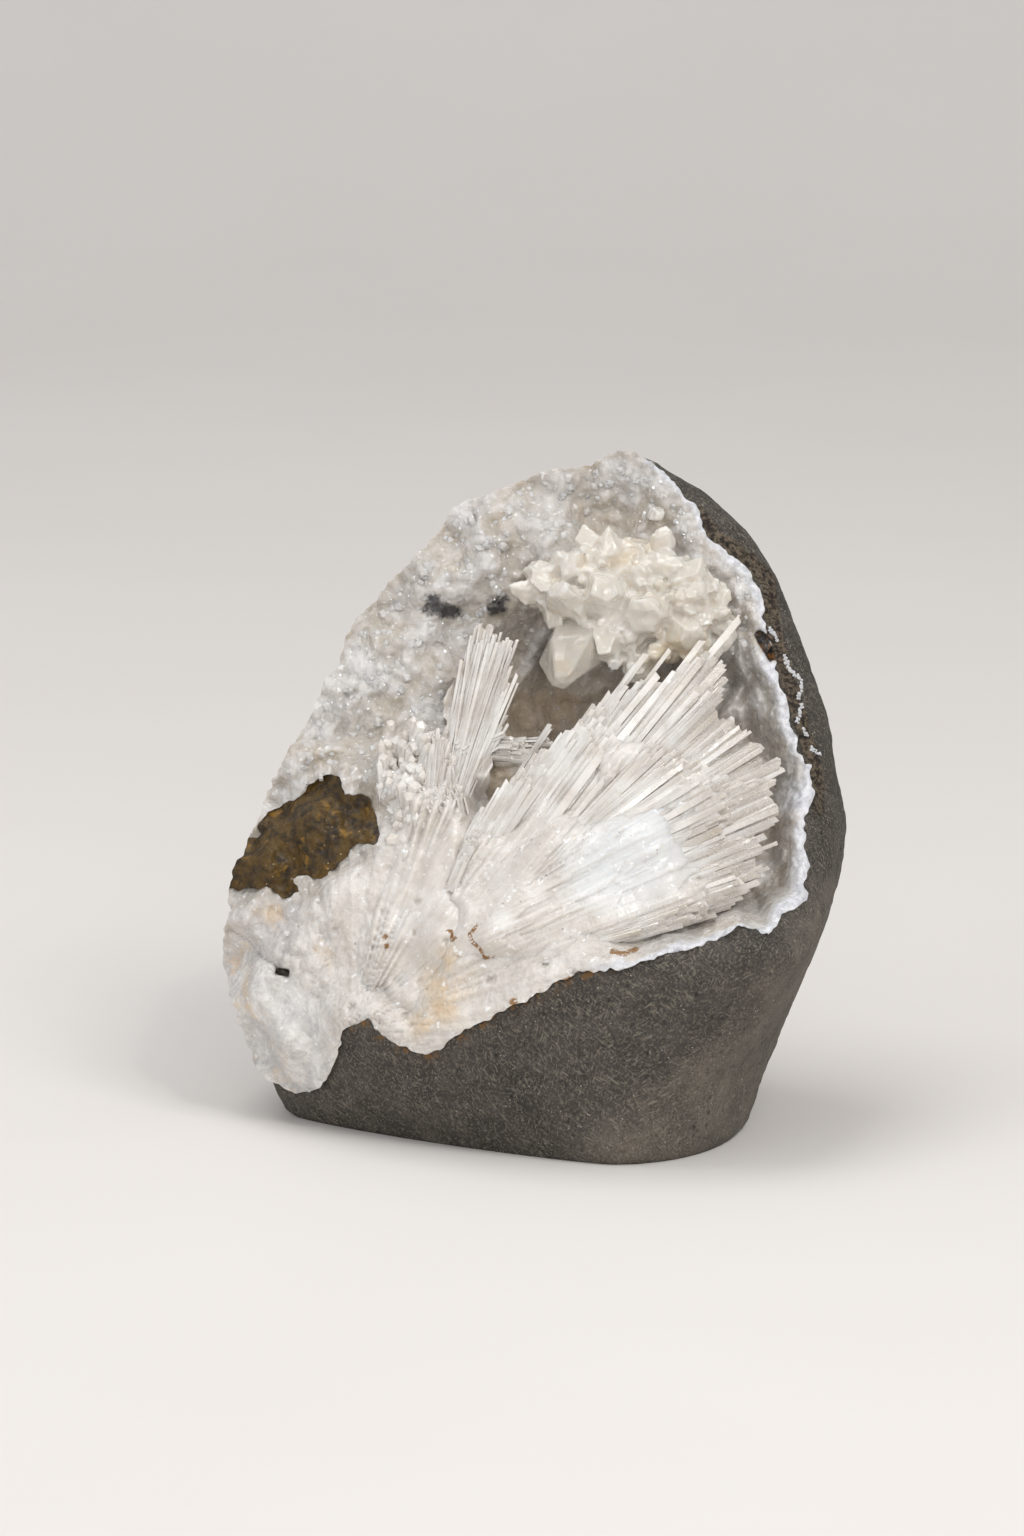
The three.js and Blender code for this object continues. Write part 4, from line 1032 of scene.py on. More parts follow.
SPRAYS = [
    # root, bundles, needles in each, angles, lengths, lift of root and tip over the mass, widths, spread
    ([-17, 46], 50, 18, (69.5, 77.5), (26, 39), (-6.0, 0.7), (0.25, 0.6), 0.8),
    ([-5.5, 55.5], 1, 4, (55, 56), (14, 15), (0.5, 2.5), (0.3, 0.6), 0.12),
    ([-16, 50], 14, 12, (60, 70), (16, 27), (-6.0, 0.6), (0.2, 0.5), 0.9),
    ([-18, 50], 8, 9, (78, 86), (12, 19), (-4.0, -0.3), (0.3, 0.7), 1.1),
    ([-11.5, 64], 12, 11, (-12, 14), (8, 13), (-3.0, 0.5), (0.25, 0.6), 0.8),
    ([-13, 62], 8, 8, (18, 62), (5, 9), (-0.3, 0.8), (0.25, 0.6), 0.9),
    ([-14, 52], 16, 10, (98, 124), (4, 8), (-3.0, 0.0), (0.2, 0.5), 1.2),
]

# Small pointed crystals on the left side of the mass, each as [across, up, height, lean in degrees]
POINTED = [
    [-24.8, 53, 3, 98], [-24.6, 56, 3.5, 96], [-24.5, 58, 4, 96], [-24.5, 61, 4, 92], [-22.5, 63, 4.5, 84],
    [-21.5, 60, 4, 80], [-24, 55, 4, 95], [-20.5, 56, 4, 86], [-22, 66, 3, 88], [-19, 62, 4, 78],
    [-22, 51, 4, 92], [-24, 49, 3.5, 96],
]
POINTED_LEFT = -26.4  # none stands farther left, where the brown patch is


def pointed_pieces(rng, each=8):
    """A tuft of small pointed crystals at each place."""
    across, up, heights, leans = np.repeat(np.array(POINTED), each, axis=0).T
    across = across + rng.normal(0, 1.2, len(across))
    up = up + rng.normal(0, 1.4, len(up))
    kept = across > POINTED_LEFT
    across, up, heights, leans = across[kept], up[kept], heights[kept], leans[kept]
    heights = heights * rng.uniform(0.35, 1.0, len(across))
    lean = np.radians(leans + rng.normal(0, 7, len(across)))
    tilt = rng.uniform(-2.0, 0.6, len(across))
    depth = mass_surface(across, up)
    roots = stand(across, up, depth + 1.8)
    ends = stand(across + heights * np.cos(lean), up + heights * np.sin(lean), depth + 0.4 + tilt)
    radii = rng.uniform(0.6, 1.4, len(across))
    points, faces, per = points_of_quartz(roots, unit(ends - roots), radii, heights, rng, 5, 0.72)
    tone = np.repeat(rng.uniform(0, 1, len(across)), per)
    return [(points, faces, {"tone": tone, "tip": np.full(len(points), 0.3)})]


def spray_pieces(rng):
    """The needles in bundles. They start inside the mass and end in front of it."""
    pieces = []
    for root, bundles, each, angles, lengths, lifts, widths, spread in SPRAYS:
        for _ in range(bundles):
            middle = rng.uniform(*angles)
            reach = rng.uniform(*lengths)
            angle = np.radians(middle + rng.normal(0, 1.5, each))
            length = reach * rng.uniform(0.88, 1.03, each)
            begin = length * rng.uniform(0.2, 0.6, each)
            offset = rng.normal(0, spread * 0.6, 2) + rng.normal(0, spread * 0.5, (each, 2))

            def at(distance, lift):
                across = root[0] + offset[:, 0] + distance * np.cos(angle)
                up = root[1] + offset[:, 1] + distance * np.sin(angle)
                return stand(across, up, mass_depth(across, up) - lift)

            lift = rng.uniform(-0.4, 0.6) + rng.uniform(-0.3, 0.3, each)
            points, faces = blades(
                at(begin, lift + lifts[0]), at(length, lift + lifts[1]),
                rng.uniform(*widths, each), rng.uniform(0.4, 0.8, each),
                rng.uniform(-0.6, 0.6, each), rng.uniform(-0.8, 0.8, each),
            )
            tip = np.tile([0.0] * 4 + [0.5] * 4, each)
            tone = np.repeat(rng.uniform(0, 1, each), 8)
            pieces.append((points, faces, {"tip": tip, "tone": tone}))
    return pieces


CREAM_CRYSTALS = [
    # root, tip, radius, flatness of the end
    ([9, 87, 9], [4.9, 75.2, -3], 6.4, 0.34),
    ([13, 91, 7], [12.2, 79.8, -2], 3.3, 0.6),
    ([7, 89, 8], [-3.6, 91.5, 5], 2.8, 0.3),
    ([8, 86, 10], [4, 91, -2], 5, 0.5),
    ([13, 89, 9], [12, 91, -4.5], 5, 0.5),
    ([13, 93, 7], [12.4, 101.5, 2], 3.4, 0.1),
    ([14, 94, 7], [25, 95.5, 0], 2.8, 0.3),
    ([19, 90, 7], [28.6, 93.6, 0], 3.6, 0.8),
    ([19, 86, 9], [18.5, 86.5, -4.5], 5.4, 0.6),
    ([23, 84, 8], [27, 82.5, -3], 4.6, 0.5),
    ([19, 83, 8], [18, 75.8, 0], 2.4, 0.6),
    ([28, 87, 5], [32.5, 86.5, -1], 3.2, 0.4),
    ([20, 105, 12], [21.3, 103.3, 5], 1.9, 0.6),
]


def cream_crystal(root, tip, radius, flat, rng, sides=4):
    """A blocky crystal: a prism whose pointed end is cut off."""
    start, end = stand(*root), stand(*tip)
    direction = (end - start) / np.linalg.norm(end - start)
    length = np.linalg.norm(end - start)
    side, other = frames(direction[None], rng)
    side, other = side[0], other[0] * rng.uniform(0.62, 1.0)
    slant = rng.uniform(-0.35, 0.35, 2) * radius
    shoulder = max(length * 0.35, length - radius * 1.1)
    rings = []
    for height, ring_radius in ((0, radius * 0.9), (shoulder, radius), (length, radius * flat)):
        for i in range(sides):
            angle = 2 * math.pi * i / sides
            wobble = rng.uniform(0.9, 1.1)
            out = side * math.cos(angle) + other * math.sin(angle)
            tilt = slant[0] * math.cos(angle) + slant[1] * math.sin(angle) if height else 0
            rings.append(start + direction * (height + tilt) + out * ring_radius * wobble)
    points = np.array(rings)
    quads = []
    for ring in (0, 1):
        for i in range(sides):
            j = (i + 1) % sides
            quads.append([ring * sides + i, ring * sides + j, (ring + 1) * sides + j, (ring + 1) * sides + i])
    top, bottom = len(points), len(points) + 1
    points = np.concatenate([points, [points[2 * sides:].mean(axis=0)], [points[:sides].mean(axis=0)]])
    points[top] += direction * radius * 0.06
    tris = [[2 * sides + i, 2 * sides + (i + 1) % sides, top] for i in range(sides)]
    tris += [[(i + 1) % sides, i, bottom] for i in range(sides)]
    return points, [np.array(quads), np.array(tris)]


CREAM_VOXEL = 0.27
BEVEL_WIDTH = 0.35


def build_cream_mass():
    """The smaller cream crystals, grown into each other."""
    rng = np.random.default_rng(23)
    pieces = []
    for root, tip, radius, flat in CREAM_CRYSTALS[1:]:
        points, faces = cream_crystal(root, tip, radius, flat, rng, int(rng.integers(4, 7)))
        pieces.append((points, faces))
    across, up = scatter(CLUSTER_OUTLINE, 190, rng)
    depth = depth_from(CLUSTER_PLACES, across, up)
    for a, u, d in zip(across, up, depth):
        lean = rng.normal(0, 0.5, 2)
        radius = rng.uniform(1.2, 3.4)
        tip = [a + lean[0] * 3, u + lean[1] * 3, d - rng.uniform(-0.4, 1.8)]
        sides = int(rng.integers(4, 7))
        points, faces = cream_crystal([a, u, d + 4], tip, radius, rng.uniform(0.35, 0.85), rng, sides)
        pieces.append((points, faces))
    mass = join("cream_mass", pieces)
    remesh = mass.modifiers.new("fuse", "REMESH")
    remesh.mode = "VOXEL"
    remesh.voxel_size = CREAM_VOXEL * MM
    soften = mass.modifiers.new("soften", "SMOOTH")
    soften.factor = 0.5
    soften.iterations = 1
    bake_modifiers(mass)
    points = positions(mass)
    height = 0.34 * layered_noise(points, 1.7, 27) + 0.12 * (lumps(points, 2.2, 28) - 0.6)
    height *= 0.5 + 0.5 * smoothstep(smooth_noise(points, 6.0, 30), -0.3, 0.4)
    push_out(mass, height)
    shade_smooth(mass)
    paint(mass, "tone", 0.5 + 0.5 * smooth_noise(points, 5.0, 29))
    return mass


def build_big_cream():
    """The large hanging crystal, with crisp glassy edges."""
    rng = np.random.default_rng(24)
    points, faces = cream_crystal(*CREAM_CRYSTALS[0], rng, 5)
    crystals = join("cream_crystals", [(points, faces, {"tone": np.full(len(points), 0.4)})])
    bevel = crystals.modifiers.new("bevel", "BEVEL")
    bevel.width = BEVEL_WIDTH * MM
    bevel.segments = 2
    bevel.limit_method = "ANGLE"
    bevel.angle_limit = math.radians(20)
    subdivide = crystals.modifiers.new("fine", "SUBSURF")
    subdivide.subdivision_type = "SIMPLE"
    subdivide.levels = subdivide.render_levels = 3
    bake_modifiers(crystals)
    push_out(crystals, 0.2 * layered_noise(positions(crystals), 3.4, 33))
    return crystals


def build_patch():
    def near(across, up):
        base = crust_depth(across, up) + PATCH_RECESS
        points = stand(across, up, base)
        return base - 0.7 * layered_noise(points, 3.5, 91) - 0.5 * (lumps(points, 2.4, 93) - 0.5)

    patch = face_block("patch", near, crust_back, *PATCH_GRID)
    combine(patch, face_prism(PATCH_EDGE), "INTERSECT")
    return combine(patch, face_prism(RAGGED_CRUST), "INTERSECT")


# Materials
class Nodes:
    """Short names for building one material."""

    def __init__(self, name):
        self.material = bpy.data.materials.new(name)
        self.material.use_nodes = True
        self.tree = self.material.node_tree
        self.shader = self.tree.nodes["Principled BSDF"]
        coordinates = self.tree.nodes.new("ShaderNodeTexCoord")
        self.place = coordinates.outputs["Object"]

    def new(self, kind, inputs, **settings):
        node = self.tree.nodes.new(kind)
        for key, value in settings.items():
            setattr(node, key, value)
        for key, value in inputs.items():
            self.feed(node.inputs[key], value)
        return node

    def feed(self, socket, value):
        if isinstance(value, bpy.types.NodeSocket):
            self.tree.links.new(value, socket)
        else:
            socket.default_value = value

    def set(self, **values):
        for key, value in values.items():
            self.feed(self.shader.inputs[key.replace("_", " ")], value)

    def noise(self, scale, detail=4.0, roughness=0.55, distortion=0.0, place=None):
        inputs = {"Vector": place or self.place, "Scale": scale, "Detail": detail, "Roughness": roughness}
        return self.new("ShaderNodeTexNoise", {**inputs, "Distortion": distortion}).outputs["Fac"]

    def cells(self, scale):
        return self.new("ShaderNodeTexVoronoi", {"Vector": self.place, "Scale": scale}).outputs["Distance"]

    def stretched(self, scale, rotation):
        """The place turned first and then stretched along its own axes."""
        turned = self.new("ShaderNodeMapping", {"Vector": self.place, "Rotation": rotation})
        return self.new("ShaderNodeMapping", {"Vector": turned.outputs[0], "Scale": scale}).outputs[0]

    def painted(self, name):
        return self.new("ShaderNodeAttribute", {}, attribute_name=name).outputs["Fac"]

    def span(self, value, low, high, to_low=0.0, to_high=1.0):
        inputs = {"Value": value, "From Min": low, "From Max": high, "To Min": to_low, "To Max": to_high}
        return self.new("ShaderNodeMapRange", inputs, interpolation_type="SMOOTHSTEP").outputs["Result"]

    def calc(self, operation, a, b):
        return self.new("ShaderNodeMath", {0: a, 1: b}, operation=operation).outputs[0]

    def times(self, a, b):
        return self.calc("MULTIPLY", a, b)

    def specks(self, scale, size, where, low, high):
        """Small round specks, in the areas where another value is high."""
        return self.times(self.span(self.cells(scale), 0.0, size, 1.0, 0.0), self.span(where, low, high))

    def mix(self, share, a, b):
        colours = [c if isinstance(c, bpy.types.NodeSocket) else (*c, 1.0) for c in (a, b)]
        inputs = {"Factor": share, 6: colours[0], 7: colours[1]}
        return self.new("ShaderNodeMix", inputs, data_type="RGBA").outputs[2]

    def clouds(self, pattern, low, high, first, second):
        """A mix of two colours by a pattern."""
        return self.mix(self.span(pattern, low, high), first, second)

    def gloss(self, scale, low, high, detail=3):
        """Roughness that varies a little over the surface."""
        return self.span(self.noise(scale, detail), 0.3, 0.7, low, high)

    def bump(self, height, distance_mm, strength):
        inputs = {"Height": height, "Distance": distance_mm * MM, "Strength": strength}
        return self.new("ShaderNodeBump", inputs).outputs["Normal"]


def srgb(red, green, blue):
    """A colour given as it looks on screen, 0 to 255, as the shader wants it."""
    def linear(value):
        value /= 255
        return value / 12.92 if value <= 0.04045 else ((value + 0.055) / 1.055) ** 2.4
    return (linear(red), linear(green), linear(blue))


# Saw strokes on the rock: turn about the line of sight, and how many show outside their own areas
STROKES = [(0.5, 0.25), (0.95, 0.0), (-0.35, 0.0), (-1.1, 0.25)]


def stroke_pattern(m):
    """Short thin scratches in a few directions, each direction in its own areas."""
    strokes = None
    for number, (turn, elsewhere) in enumerate(STROKES):
        place = m.stretched((3600, 1800, 480), (0.1 * number, turn, 0.15 * number))
        scratch = m.span(m.noise(1.0, 1.5, 0.5, 0.25, place), 0.6, 0.68)
        area = m.noise(45 + 12 * number, 2, 0.5)
        here = m.span(area, 0.42, 0.56, 1.0, elsewhere) if elsewhere else m.span(area, 0.42, 0.56)
        scratch = m.times(scratch, here)
        strokes = scratch if strokes is None else m.calc("MAXIMUM", strokes, scratch)
    return strokes


def over_amber(m, colour):
    """A colour with the dark amber hole in the rim over it."""
    amber = m.clouds(m.noise(700, 4, 0.6), 0.46, 0.62, srgb(24, 16, 8), srgb(112, 74, 30))
    return m.clouds(m.painted("amber"), 0.4, 0.7, colour, amber)


def basalt_material():
    m = Nodes("basalt")
    fine = m.noise(2200, 4, 0.7)
    mottle = m.noise(150, 5, 0.65)
    dark_grey = m.clouds(mottle, 0.3, 0.7, srgb(50, 46, 42), srgb(74, 69, 63))
    # The paler grey: partly the rock's own colour, partly painted light on the lower right side
    pale_and_lit_grey = m.clouds(mottle, 0.3, 0.7, srgb(78, 72, 65), srgb(106, 99, 89))
    pale = m.calc("ADD", m.painted("pale"), m.times(m.noise(200, 4, 0.7), 0.7))
    colour = m.clouds(pale, 0.4, 1.2, dark_grey, pale_and_lit_grey)
    colour = m.mix(m.span(fine, 0.5, 0.66, 0.0, 0.6), colour, srgb(128, 120, 108))
    colour = m.mix(m.span(fine, 0.34, 0.46, 0.75, 0.0), colour, srgb(38, 34, 31))
    strokes = stroke_pattern(m)
    colour = m.mix(m.times(strokes, 0.42), colour, srgb(152, 144, 130))
    flecks = m.specks(1100, 0.2, m.noise(500), 0.52, 0.6)
    colour = m.mix(flecks, colour, srgb(196, 189, 178))
    pits = m.specks(420, 0.26, m.noise(200), 0.45, 0.58)
    colour = m.mix(m.times(pits, 0.85), colour, srgb(26, 23, 21))
    rust = m.times(m.painted("edge"), m.span(m.noise(500, 4, 0.7), 0.5, 0.62))
    colour = m.mix(rust, colour, srgb(120, 84, 40))
    brown = m.clouds(m.noise(1100, 4, 0.75), 0.42, 0.6, srgb(34, 27, 21), srgb(104, 92, 76))
    band = m.calc("ADD", m.painted("band"), m.times(m.noise(420, 4, 0.75), 0.9))
    colour = m.clouds(band, 1.0, 1.25, colour, brown)
    colour = over_amber(m, colour)
    height = m.calc("ADD", m.times(fine, 0.6), m.times(strokes, -0.25))
    height = m.calc("SUBTRACT", height, m.times(pits, 0.9))
    m.set(Base_Color=colour, Roughness=m.span(fine, 0.3, 0.7, 0.62, 0.9), Normal=m.bump(height, 0.3, 0.9))
    m.set(Specular_IOR_Level=0.35)
    return m.material


def milky(m, radius, weight):
    """Light goes a little way into the stone."""
    m.set(Subsurface_Weight=weight, Subsurface_Scale=radius)
    m.shader.inputs["Subsurface Radius"].default_value = (1.0, 0.85, 0.7)


def massive_colour(m):
    """Waxy white mineral with a milky part, iron stains, rust along cracks and small dark specks."""
    colour = m.clouds(m.noise(130, 5, 0.65), 0.3, 0.7, srgb(202, 195, 186), srgb(222, 217, 211))
    colour = m.mix(m.times(m.painted("milky"), 0.7), colour, srgb(226, 229, 230))
    stain = m.times(m.painted("stain"), m.span(m.noise(230, 4, 0.6), 0.3, 0.6))
    colour = m.mix(m.times(stain, 0.75), colour, srgb(222, 192, 148))
    colour = m.mix(m.times(m.painted("white"), 0.8), colour, srgb(248, 246, 242))
    rust = m.times(m.painted("rust"), m.span(m.noise(900, 3, 0.7), 0.36, 0.53))
    colour = m.clouds(rust, 0.15, 0.55, colour, srgb(140, 102, 58))
    shade = m.span(m.noise(420, 4, 0.7), 0.55, 0.7, 0.0, 0.4)
    colour = m.mix(shade, colour, srgb(188, 178, 166))
    glints = m.span(m.noise(800, 2, 0.6), 0.64, 0.7, 0.0, 0.7)
    colour = m.mix(glints, colour, srgb(252, 252, 252))
    return m.mix(m.specks(520, 0.12, m.noise(150, 2), 0.44, 0.56), colour, srgb(104, 76, 48))


def quartz_material():
    m = Nodes("quartz")
    colour = m.clouds(m.noise(170, 4, 0.6), 0.3, 0.7, srgb(192, 187, 182), srgb(214, 211, 208))
    # Painted shade in the crust's crevices: a darker, warmer beige where the surface lies below its plain
    # level
    crevice_shade_colour = m.clouds(m.noise(110, 3), 0.4, 0.65, srgb(172, 165, 154), srgb(178, 164, 142))
    colour = m.mix(m.times(m.painted("crevice_shade"), 0.7), colour, crevice_shade_colour)
    lobe = m.span(m.calc("ADD", m.painted("lobe"), m.times(m.noise(120, 4), 0.6)), 0.8, 1.3)
    patchy = m.clouds(m.noise(100, 4), 0.42, 0.6, srgb(216, 211, 205), srgb(196, 191, 187))
    colour = m.mix(lobe, colour, patchy)
    waxy = m.clouds(m.noise(190, 5, 0.7), 0.36, 0.64, srgb(190, 187, 184), srgb(228, 225, 221))
    waxy = m.mix(m.span(m.noise(130, 4, 0.7), 0.56, 0.68, 0.0, 0.6), waxy, srgb(200, 184, 160))
    colour = m.mix(m.painted("waxy"), colour, waxy)
    beige = m.times(lobe, m.span(m.noise(150, 4, 0.65), 0.54, 0.7))
    colour = m.mix(m.times(beige, 0.75), colour, srgb(210, 188, 160))
    glints = m.span(m.noise(900, 2, 0.6), 0.62, 0.7)
    colour = m.mix(m.times(glints, 0.6), colour, srgb(250, 249, 248))
    colour = m.clouds(m.painted("massive"), 0.2, 0.8, colour, massive_colour(m))
    # Warm, lighter colour in the hollow: partly its own staining, partly painted light where little light
    # gets in
    colour = m.mix(m.span(m.painted("hollow"), 0.05, 0.9, 0.0, 0.6), colour, srgb(232, 212, 184))
    colour = m.mix(m.span(m.painted("grey"), 0.05, 0.9, 0.0, 0.5), colour, srgb(206, 198, 189))
    rim = m.clouds(m.noise(700, 3, 0.7), 0.4, 0.62, srgb(200, 201, 206), srgb(230, 231, 235))
    colour = m.mix(m.times(m.painted("rim"), 0.85), colour, rim)
    dark = m.calc("ADD", m.times(m.painted("dark"), 0.8), m.noise(460, 5, 0.75))
    colour = m.clouds(dark, 1.02, 1.32, colour, srgb(60, 58, 59))
    colour = over_amber(m, colour)
    # Painted shade: dark brown in the lobe's pit and groove
    colour = m.clouds(m.painted("pit_shade"), 0.3, 0.7, colour, srgb(58, 48, 36))
    colour = m.mix(m.painted("glint"), colour, srgb(255, 255, 255))
    sugar = m.noise(1200, 4, 0.7)
    m.set(Base_Color=colour, Roughness=m.span(sugar, 0.35, 0.65, 0.2, 0.5), IOR=1.54, Coat_Weight=0.25,
          Coat_Roughness=0.1)
    milky(m, 0.0016, 0.4)
    grain = m.calc("ADD", m.calc("ADD", sugar, m.cells(850)), m.noise(380, 4, 0.65))
    m.set(Normal=m.bump(grain, 0.32, 0.8))
    return m.material


def scolecite_material(name):
    m = Nodes(name)
    tip = m.painted("tip")
    white = m.clouds(m.noise(180, 4), 0.35, 0.65, srgb(214, 207, 198), srgb(232, 228, 222))
    clear = m.mix(m.painted("tone"), srgb(218, 207, 193), srgb(238, 232, 225))
    colour = m.mix(m.span(tip, 0.35, 1.0, 0.0, 0.8), white, clear)
    m.set(Base_Color=colour, Roughness=m.gloss(900, 0.14, 0.38), IOR=1.52,
          Transmission_Weight=m.span(tip, 0.5, 1.0, 0.0, 0.4))
    milky(m, 0.0018, 0.25)
    m.set(Normal=m.bump(m.noise(700, 3), 0.06, 0.6))
    return m.material


def core_material():
    m = Nodes("scolecite_core")
    m.set(Base_Color=massive_colour(m), Roughness=m.gloss(600, 0.2, 0.45), IOR=1.52,
          Coat_Weight=0.2, Coat_Roughness=0.15)
    milky(m, 0.002, 0.4)
    m.set(Normal=m.bump(m.noise(800, 4, 0.7), 0.12, 0.7))
    return m.material


def cream_material(name, clear):
    m = Nodes(name)
    colour = m.mix(m.painted("tone"), srgb(228, 219, 204), srgb(240, 236, 229))
    colour = m.mix(m.span(m.noise(110, 4, 0.6), 0.56, 0.72, 0.0, 0.6), colour, srgb(228, 208, 174))
    colour = m.mix(m.specks(330, 0.09, m.noise(120, 2), 0.55, 0.65), colour, srgb(124, 90, 54))
    m.set(Base_Color=colour, Roughness=m.gloss(500, 0.08, 0.28), IOR=1.54,
          Transmission_Weight=clear, Coat_Weight=0.4, Coat_Roughness=0.05)
    milky(m, 0.0018, 0.45)
    m.set(Normal=m.bump(m.noise(520, 4, 0.6), 0.12, 0.55))
    return m.material


def patch_material():
    m = Nodes("brown_mineral")
    cloud = m.noise(400, 5, 0.7)
    colour = m.clouds(cloud, 0.35, 0.6, srgb(38, 27, 8), srgb(84, 62, 19))
    colour = m.mix(m.span(m.noise(420, 4, 0.6), 0.56, 0.7, 0.0, 0.8), colour, srgb(134, 98, 28))
    # Pale specks: painted gloss highlights on the brown mineral
    colour = m.mix(m.specks(700, 0.14, m.noise(160, 2), 0.5, 0.62), colour, srgb(196, 182, 150))
    m.set(Base_Color=colour, Roughness=m.gloss(900, 0.42, 0.75, 4), Coat_Weight=0.12,
          Coat_Roughness=0.2, Specular_IOR_Level=0.35)
    m.set(Normal=m.bump(m.calc("ADD", cloud, m.cells(900)), 0.35, 0.9))
    return m.material


def floor_material():
    m = Nodes("pale_floor")
    colour = m.mix(m.noise(6, 3), srgb(226, 221, 216), srgb(232, 228, 223))
    m.set(Base_Color=colour, Roughness=0.75)
    m.set(Normal=m.bump(m.noise(500, 3), 0.05, 0.3))
    return m.material


def dress(obj, material):
    obj.data.materials.clear()
    obj.data.materials.append(material)
    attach(obj, "root")


# Pieces
# Painted places, each spot as [across, up, radius, strength]
GREY_SPOTS = [
    [32, 68, 6, 1.0], [38, 60, 5, 0.9], [40, 50, 5, 0.8], [28, 74, 5, 0.7], [12, 103, 6, 0.6],
    [30, 98, 4, 0.5], [-51, 33.5, 1.9, 1.0],
]
# Lighter warm tint deep in the hollow: partly its own warm staining, partly painted light where little light
# reaches
HOLLOW_TINT_AND_LIGHT_SPOTS = [
    [-3, 69, 7, 1.0], [3, 71, 7, 0.9], [-5, 76, 5, 0.6], [11, 73, 6, 0.5], [-6, 58, 4, 1.0],
    [20, 76, 4, 0.5],
]
STAIN_SPOTS = [[-14.2, 28, 3, 0.8], [-15, 24.5, 4, 0.9], [-15.5, 21, 3.4, 1.0], [-18.3, 17.8, 2.4, 1.0]]
WHITE_SPOTS = [[-5.3, 35.2, 1.9, 1.0]]
RUST_SPOTS = [[-3.5, 21.7, 0.7, 1.0], [-25, 32.3, 0.5, 0.9], [-24.8, 30.8, 0.5, 0.9], [-18, 24, 0.4, 0.8]]
RUST_CHAINS = [
    # chain, width
    ([[-9.6, 34.4], [-10.8, 32.9], [-10.4, 31.7], [-9.3, 30.8], [-8.6, 29.7], [-8.3, 29], [-6.7, 29.2]], 0.3),
    ([[-14.6, 33.4], [-13.9, 33.4], [-13.7, 31.7], [-13.1, 32.4]], 0.25),
    ([[12.9, 30.2], [15, 29.8], [17, 30.6]], 0.4),
    ([[5.1, 25.2], [7, 25.9], [9.2, 26.7]], 0.5),
]


def paint_massive(obj):
    """Where the massive mineral is stained, rusty, white or milky."""
    across, up, _ = face_places(positions(obj))
    paint(obj, "stain", spot_mask(STAIN_SPOTS, across, up))
    rust = spot_mask(RUST_SPOTS, across, up)
    for chain, width in RUST_CHAINS:
        rust = np.maximum(rust, near_chain(chain, across, up, width))
    paint(obj, "rust", rust)
    paint(obj, "white", spot_mask(WHITE_SPOTS, across, up))
    paint(obj, "milky", within(MILKY_REGION, across, up, 9))


def paint_crust(obj):
    across, up, _ = face_places(positions(obj))
    paint(obj, "dark", dark_mask(across, up))
    paint(obj, "amber", within(AMBER_HOLE, across, up, 1.0))
    paint(obj, "waxy", within(WAXY_LOBE, across, up, 4))
    # Painted shade in the lobe's pit and along its groove
    groove_shade = 0.5 * near_chain(LOBE_GROOVE, across, up, 0.5)
    paint(obj, "pit_shade", np.maximum(within(LOBE_PIT, across, up, 0.6), groove_shade))
    paint(obj, "hollow", spot_mask(HOLLOW_TINT_AND_LIGHT_SPOTS, across, up))
    paint(obj, "grey", spot_mask(GREY_SPOTS, across, up))
    paint_massive(obj)


def build():
    """Makes every piece of the stone and dresses it."""
    rng = np.random.default_rng(31)
    rock = build_boulder()
    dress(rock, basalt_material())
    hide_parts("basalt_matrix")
    crust = build_crust()
    paint_crust(crust)
    quartz = quartz_material()
    dress(crust, quartz)
    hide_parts("quartz_crust")
    druse = build_druse(rock)
    paint_crust(druse)
    dress(druse, quartz)
    core = build_fan_core()
    mass = build_mass()
    for obj in (core, mass):
        paint_massive(obj)
        dress(obj, core_material())
    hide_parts("scolecite_spray")
    fan = join("fan_blades", fan_pieces(rng))
    dress(fan, scolecite_material("fan_blade"))
    needles = join("spray_needles", spray_pieces(rng) + pointed_pieces(rng))
    dress(needles, scolecite_material("spray_needle"))
    cream = [(build_cream_mass(), "cream_mass", 0.22), (build_big_cream(), "cream_crystal", 0.4)]
    for cluster, name, clear in cream:
        dress(cluster, cream_material(name, clear))
        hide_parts("apophyllite_cluster")
    patch = build_patch()
    dress(patch, patch_material())
    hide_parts("brown_patch")


# Stage
FLOOR_HALF = 1.6  # metres, as the rest of the stage
WALL_PLACE = 1.3
WALL_HEIGHT = 2.2
BEND_RADIUS = 0.5
BEND_STEPS = 12


def build_stage():
    """A pale floor that bends up into a wall behind the stone."""
    bend = WALL_PLACE - BEND_RADIUS
    profile = [(-FLOOR_HALF, 0.0), (bend, 0.0)]
    for i in range(1, BEND_STEPS + 1):
        angle = i / BEND_STEPS * math.pi / 2
        profile.append((bend + BEND_RADIUS * math.sin(angle), BEND_RADIUS - BEND_RADIUS * math.cos(angle)))
    profile.append((WALL_PLACE, WALL_HEIGHT))
    points = [(x, y, z) for y, z in profile for x in (-FLOOR_HALF, FLOOR_HALF)]
    faces = np.array([[2 * i, 2 * i + 1, 2 * i + 3, 2 * i + 2] for i in range(len(profile) - 1)])
    floor = make_object("floor", np.array(points) / MM, faces)
    floor.data.materials.append(floor_material())


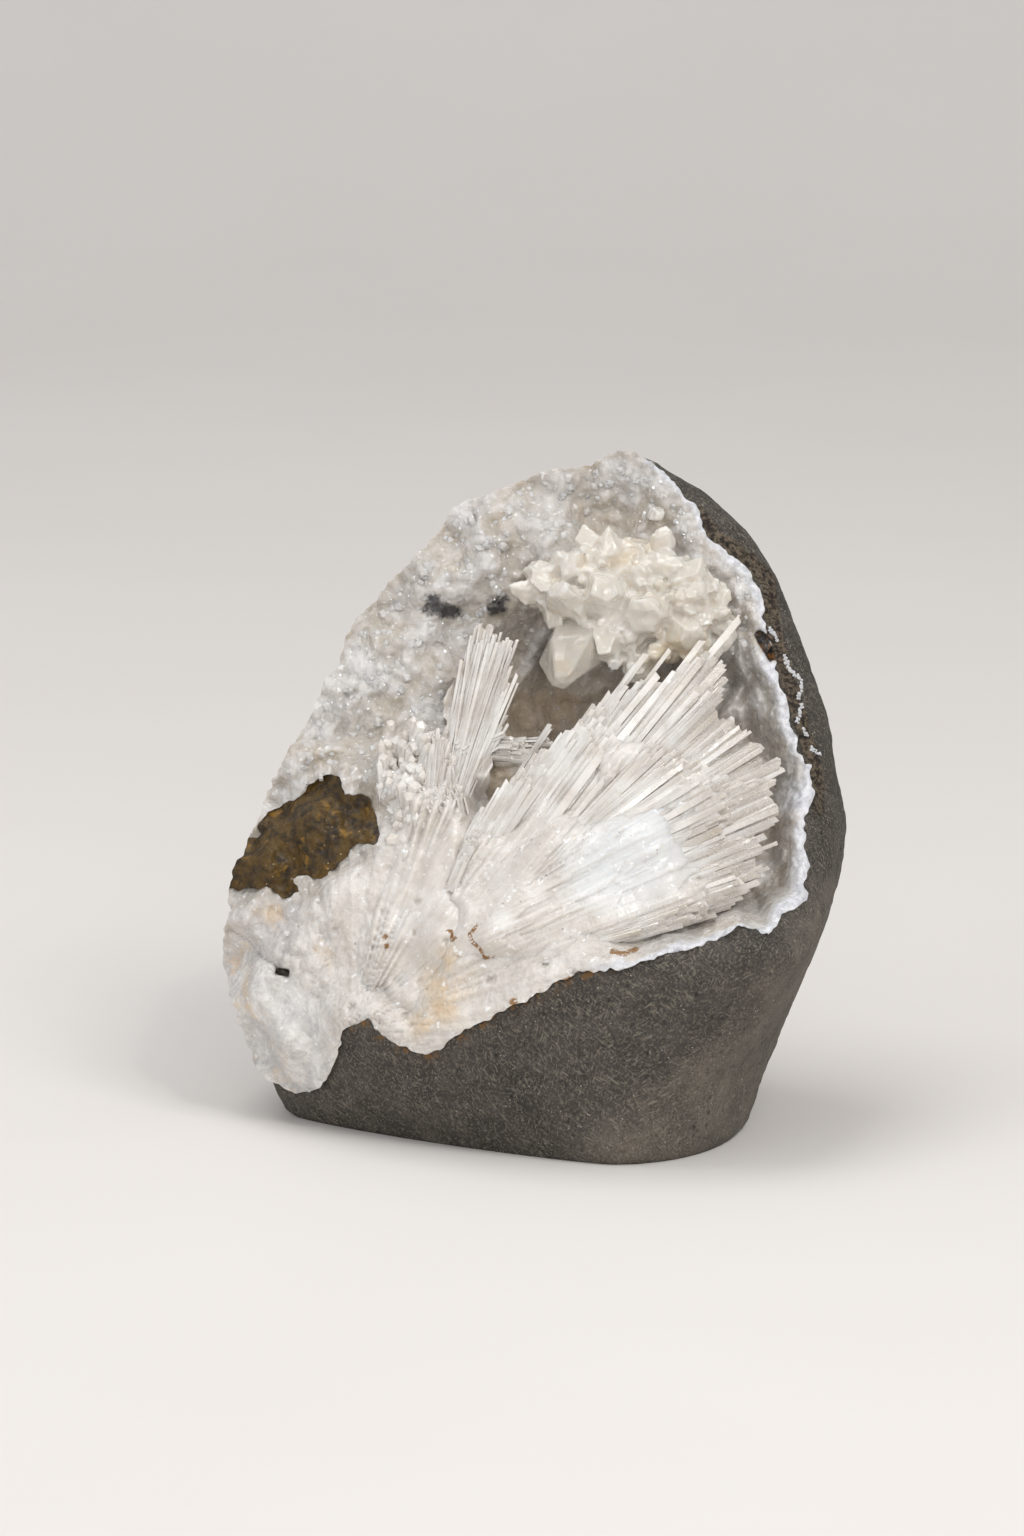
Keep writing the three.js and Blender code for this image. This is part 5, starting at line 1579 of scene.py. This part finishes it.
LIGHT_TARGET = (0, 0, 0.05)
LIGHTS = [
    # name, place, size, power, colour
    ("key", (0.5, -0.62, 0.88), (0.45, 0.45), 4.1, (1.0, 0.985, 0.96)),
    ("sparkle", (0.35, -0.7, 0.95), (0.04, 0.04), 0.7, (1.0, 1.0, 1.0)),
    ("top", (-0.25, 0.1, 0.95), (0.7, 0.5), 3.0, (1.0, 1.0, 1.0)),
    ("front", (0.1, -1.3, 0.42), (0.5, 0.5), 3.2, (1.0, 0.99, 0.97)),
    ("fill", (-0.8, -0.7, 0.45), (0.7, 0.7), 1.5, (0.97, 0.985, 1.0)),
]
SKY_COLOUR = (0.95, 0.96, 1.0, 1.0)
SKY_STRENGTH = 0.52


def area_light(name, place, size, power, colour):
    light = bpy.data.lights.new(name, "AREA")
    light.shape = "RECTANGLE"
    light.size, light.size_y = size
    light.energy = power
    light.color = colour
    obj = add_object(name, light)
    obj.location = place
    obj.rotation_euler = (Vector(LIGHT_TARGET) - Vector(place)).to_track_quat("-Z", "Y").to_euler()


def build_lights():
    world = bpy.data.worlds.new("studio")
    world.use_nodes = True
    background = world.node_tree.nodes["Background"]
    background.inputs["Color"].default_value = SKY_COLOUR
    background.inputs["Strength"].default_value = SKY_STRENGTH
    bpy.context.scene.world = world
    for light in LIGHTS:
        area_light(*light)


CAMERA_DISTANCE = 1.8
PIXELS_PER_MM = 5.9
PHOTO_SIZE = (1024, 1536)
FACE_ORIGIN_PIXEL = (534, 1126)  # where across and up are 0


def build_camera():
    across = (PHOTO_SIZE[0] / 2 - FACE_ORIGIN_PIXEL[0]) / PIXELS_PER_MM
    up = (FACE_ORIGIN_PIXEL[1] - PHOTO_SIZE[1] / 2) / PIXELS_PER_MM
    target = stand(np.array(across), np.array(up), np.array(0.0)) * MM
    camera = bpy.data.cameras.new("camera")
    half_height = PHOTO_SIZE[1] / PIXELS_PER_MM * MM / 2
    camera.sensor_width = 36  # along the picture's height, its longer side
    camera.lens = camera.sensor_width / 2 * CAMERA_DISTANCE / half_height
    obj = add_object("camera", camera)
    obj.location = target - INWARD * CAMERA_DISTANCE
    obj.rotation_euler = Vector(INWARD).to_track_quat("-Z", "Y").to_euler()
    bpy.context.scene.camera = obj


build()
build_stage()
build_lights()
build_camera()
bpy.context.scene.view_settings.view_transform = "Standard"
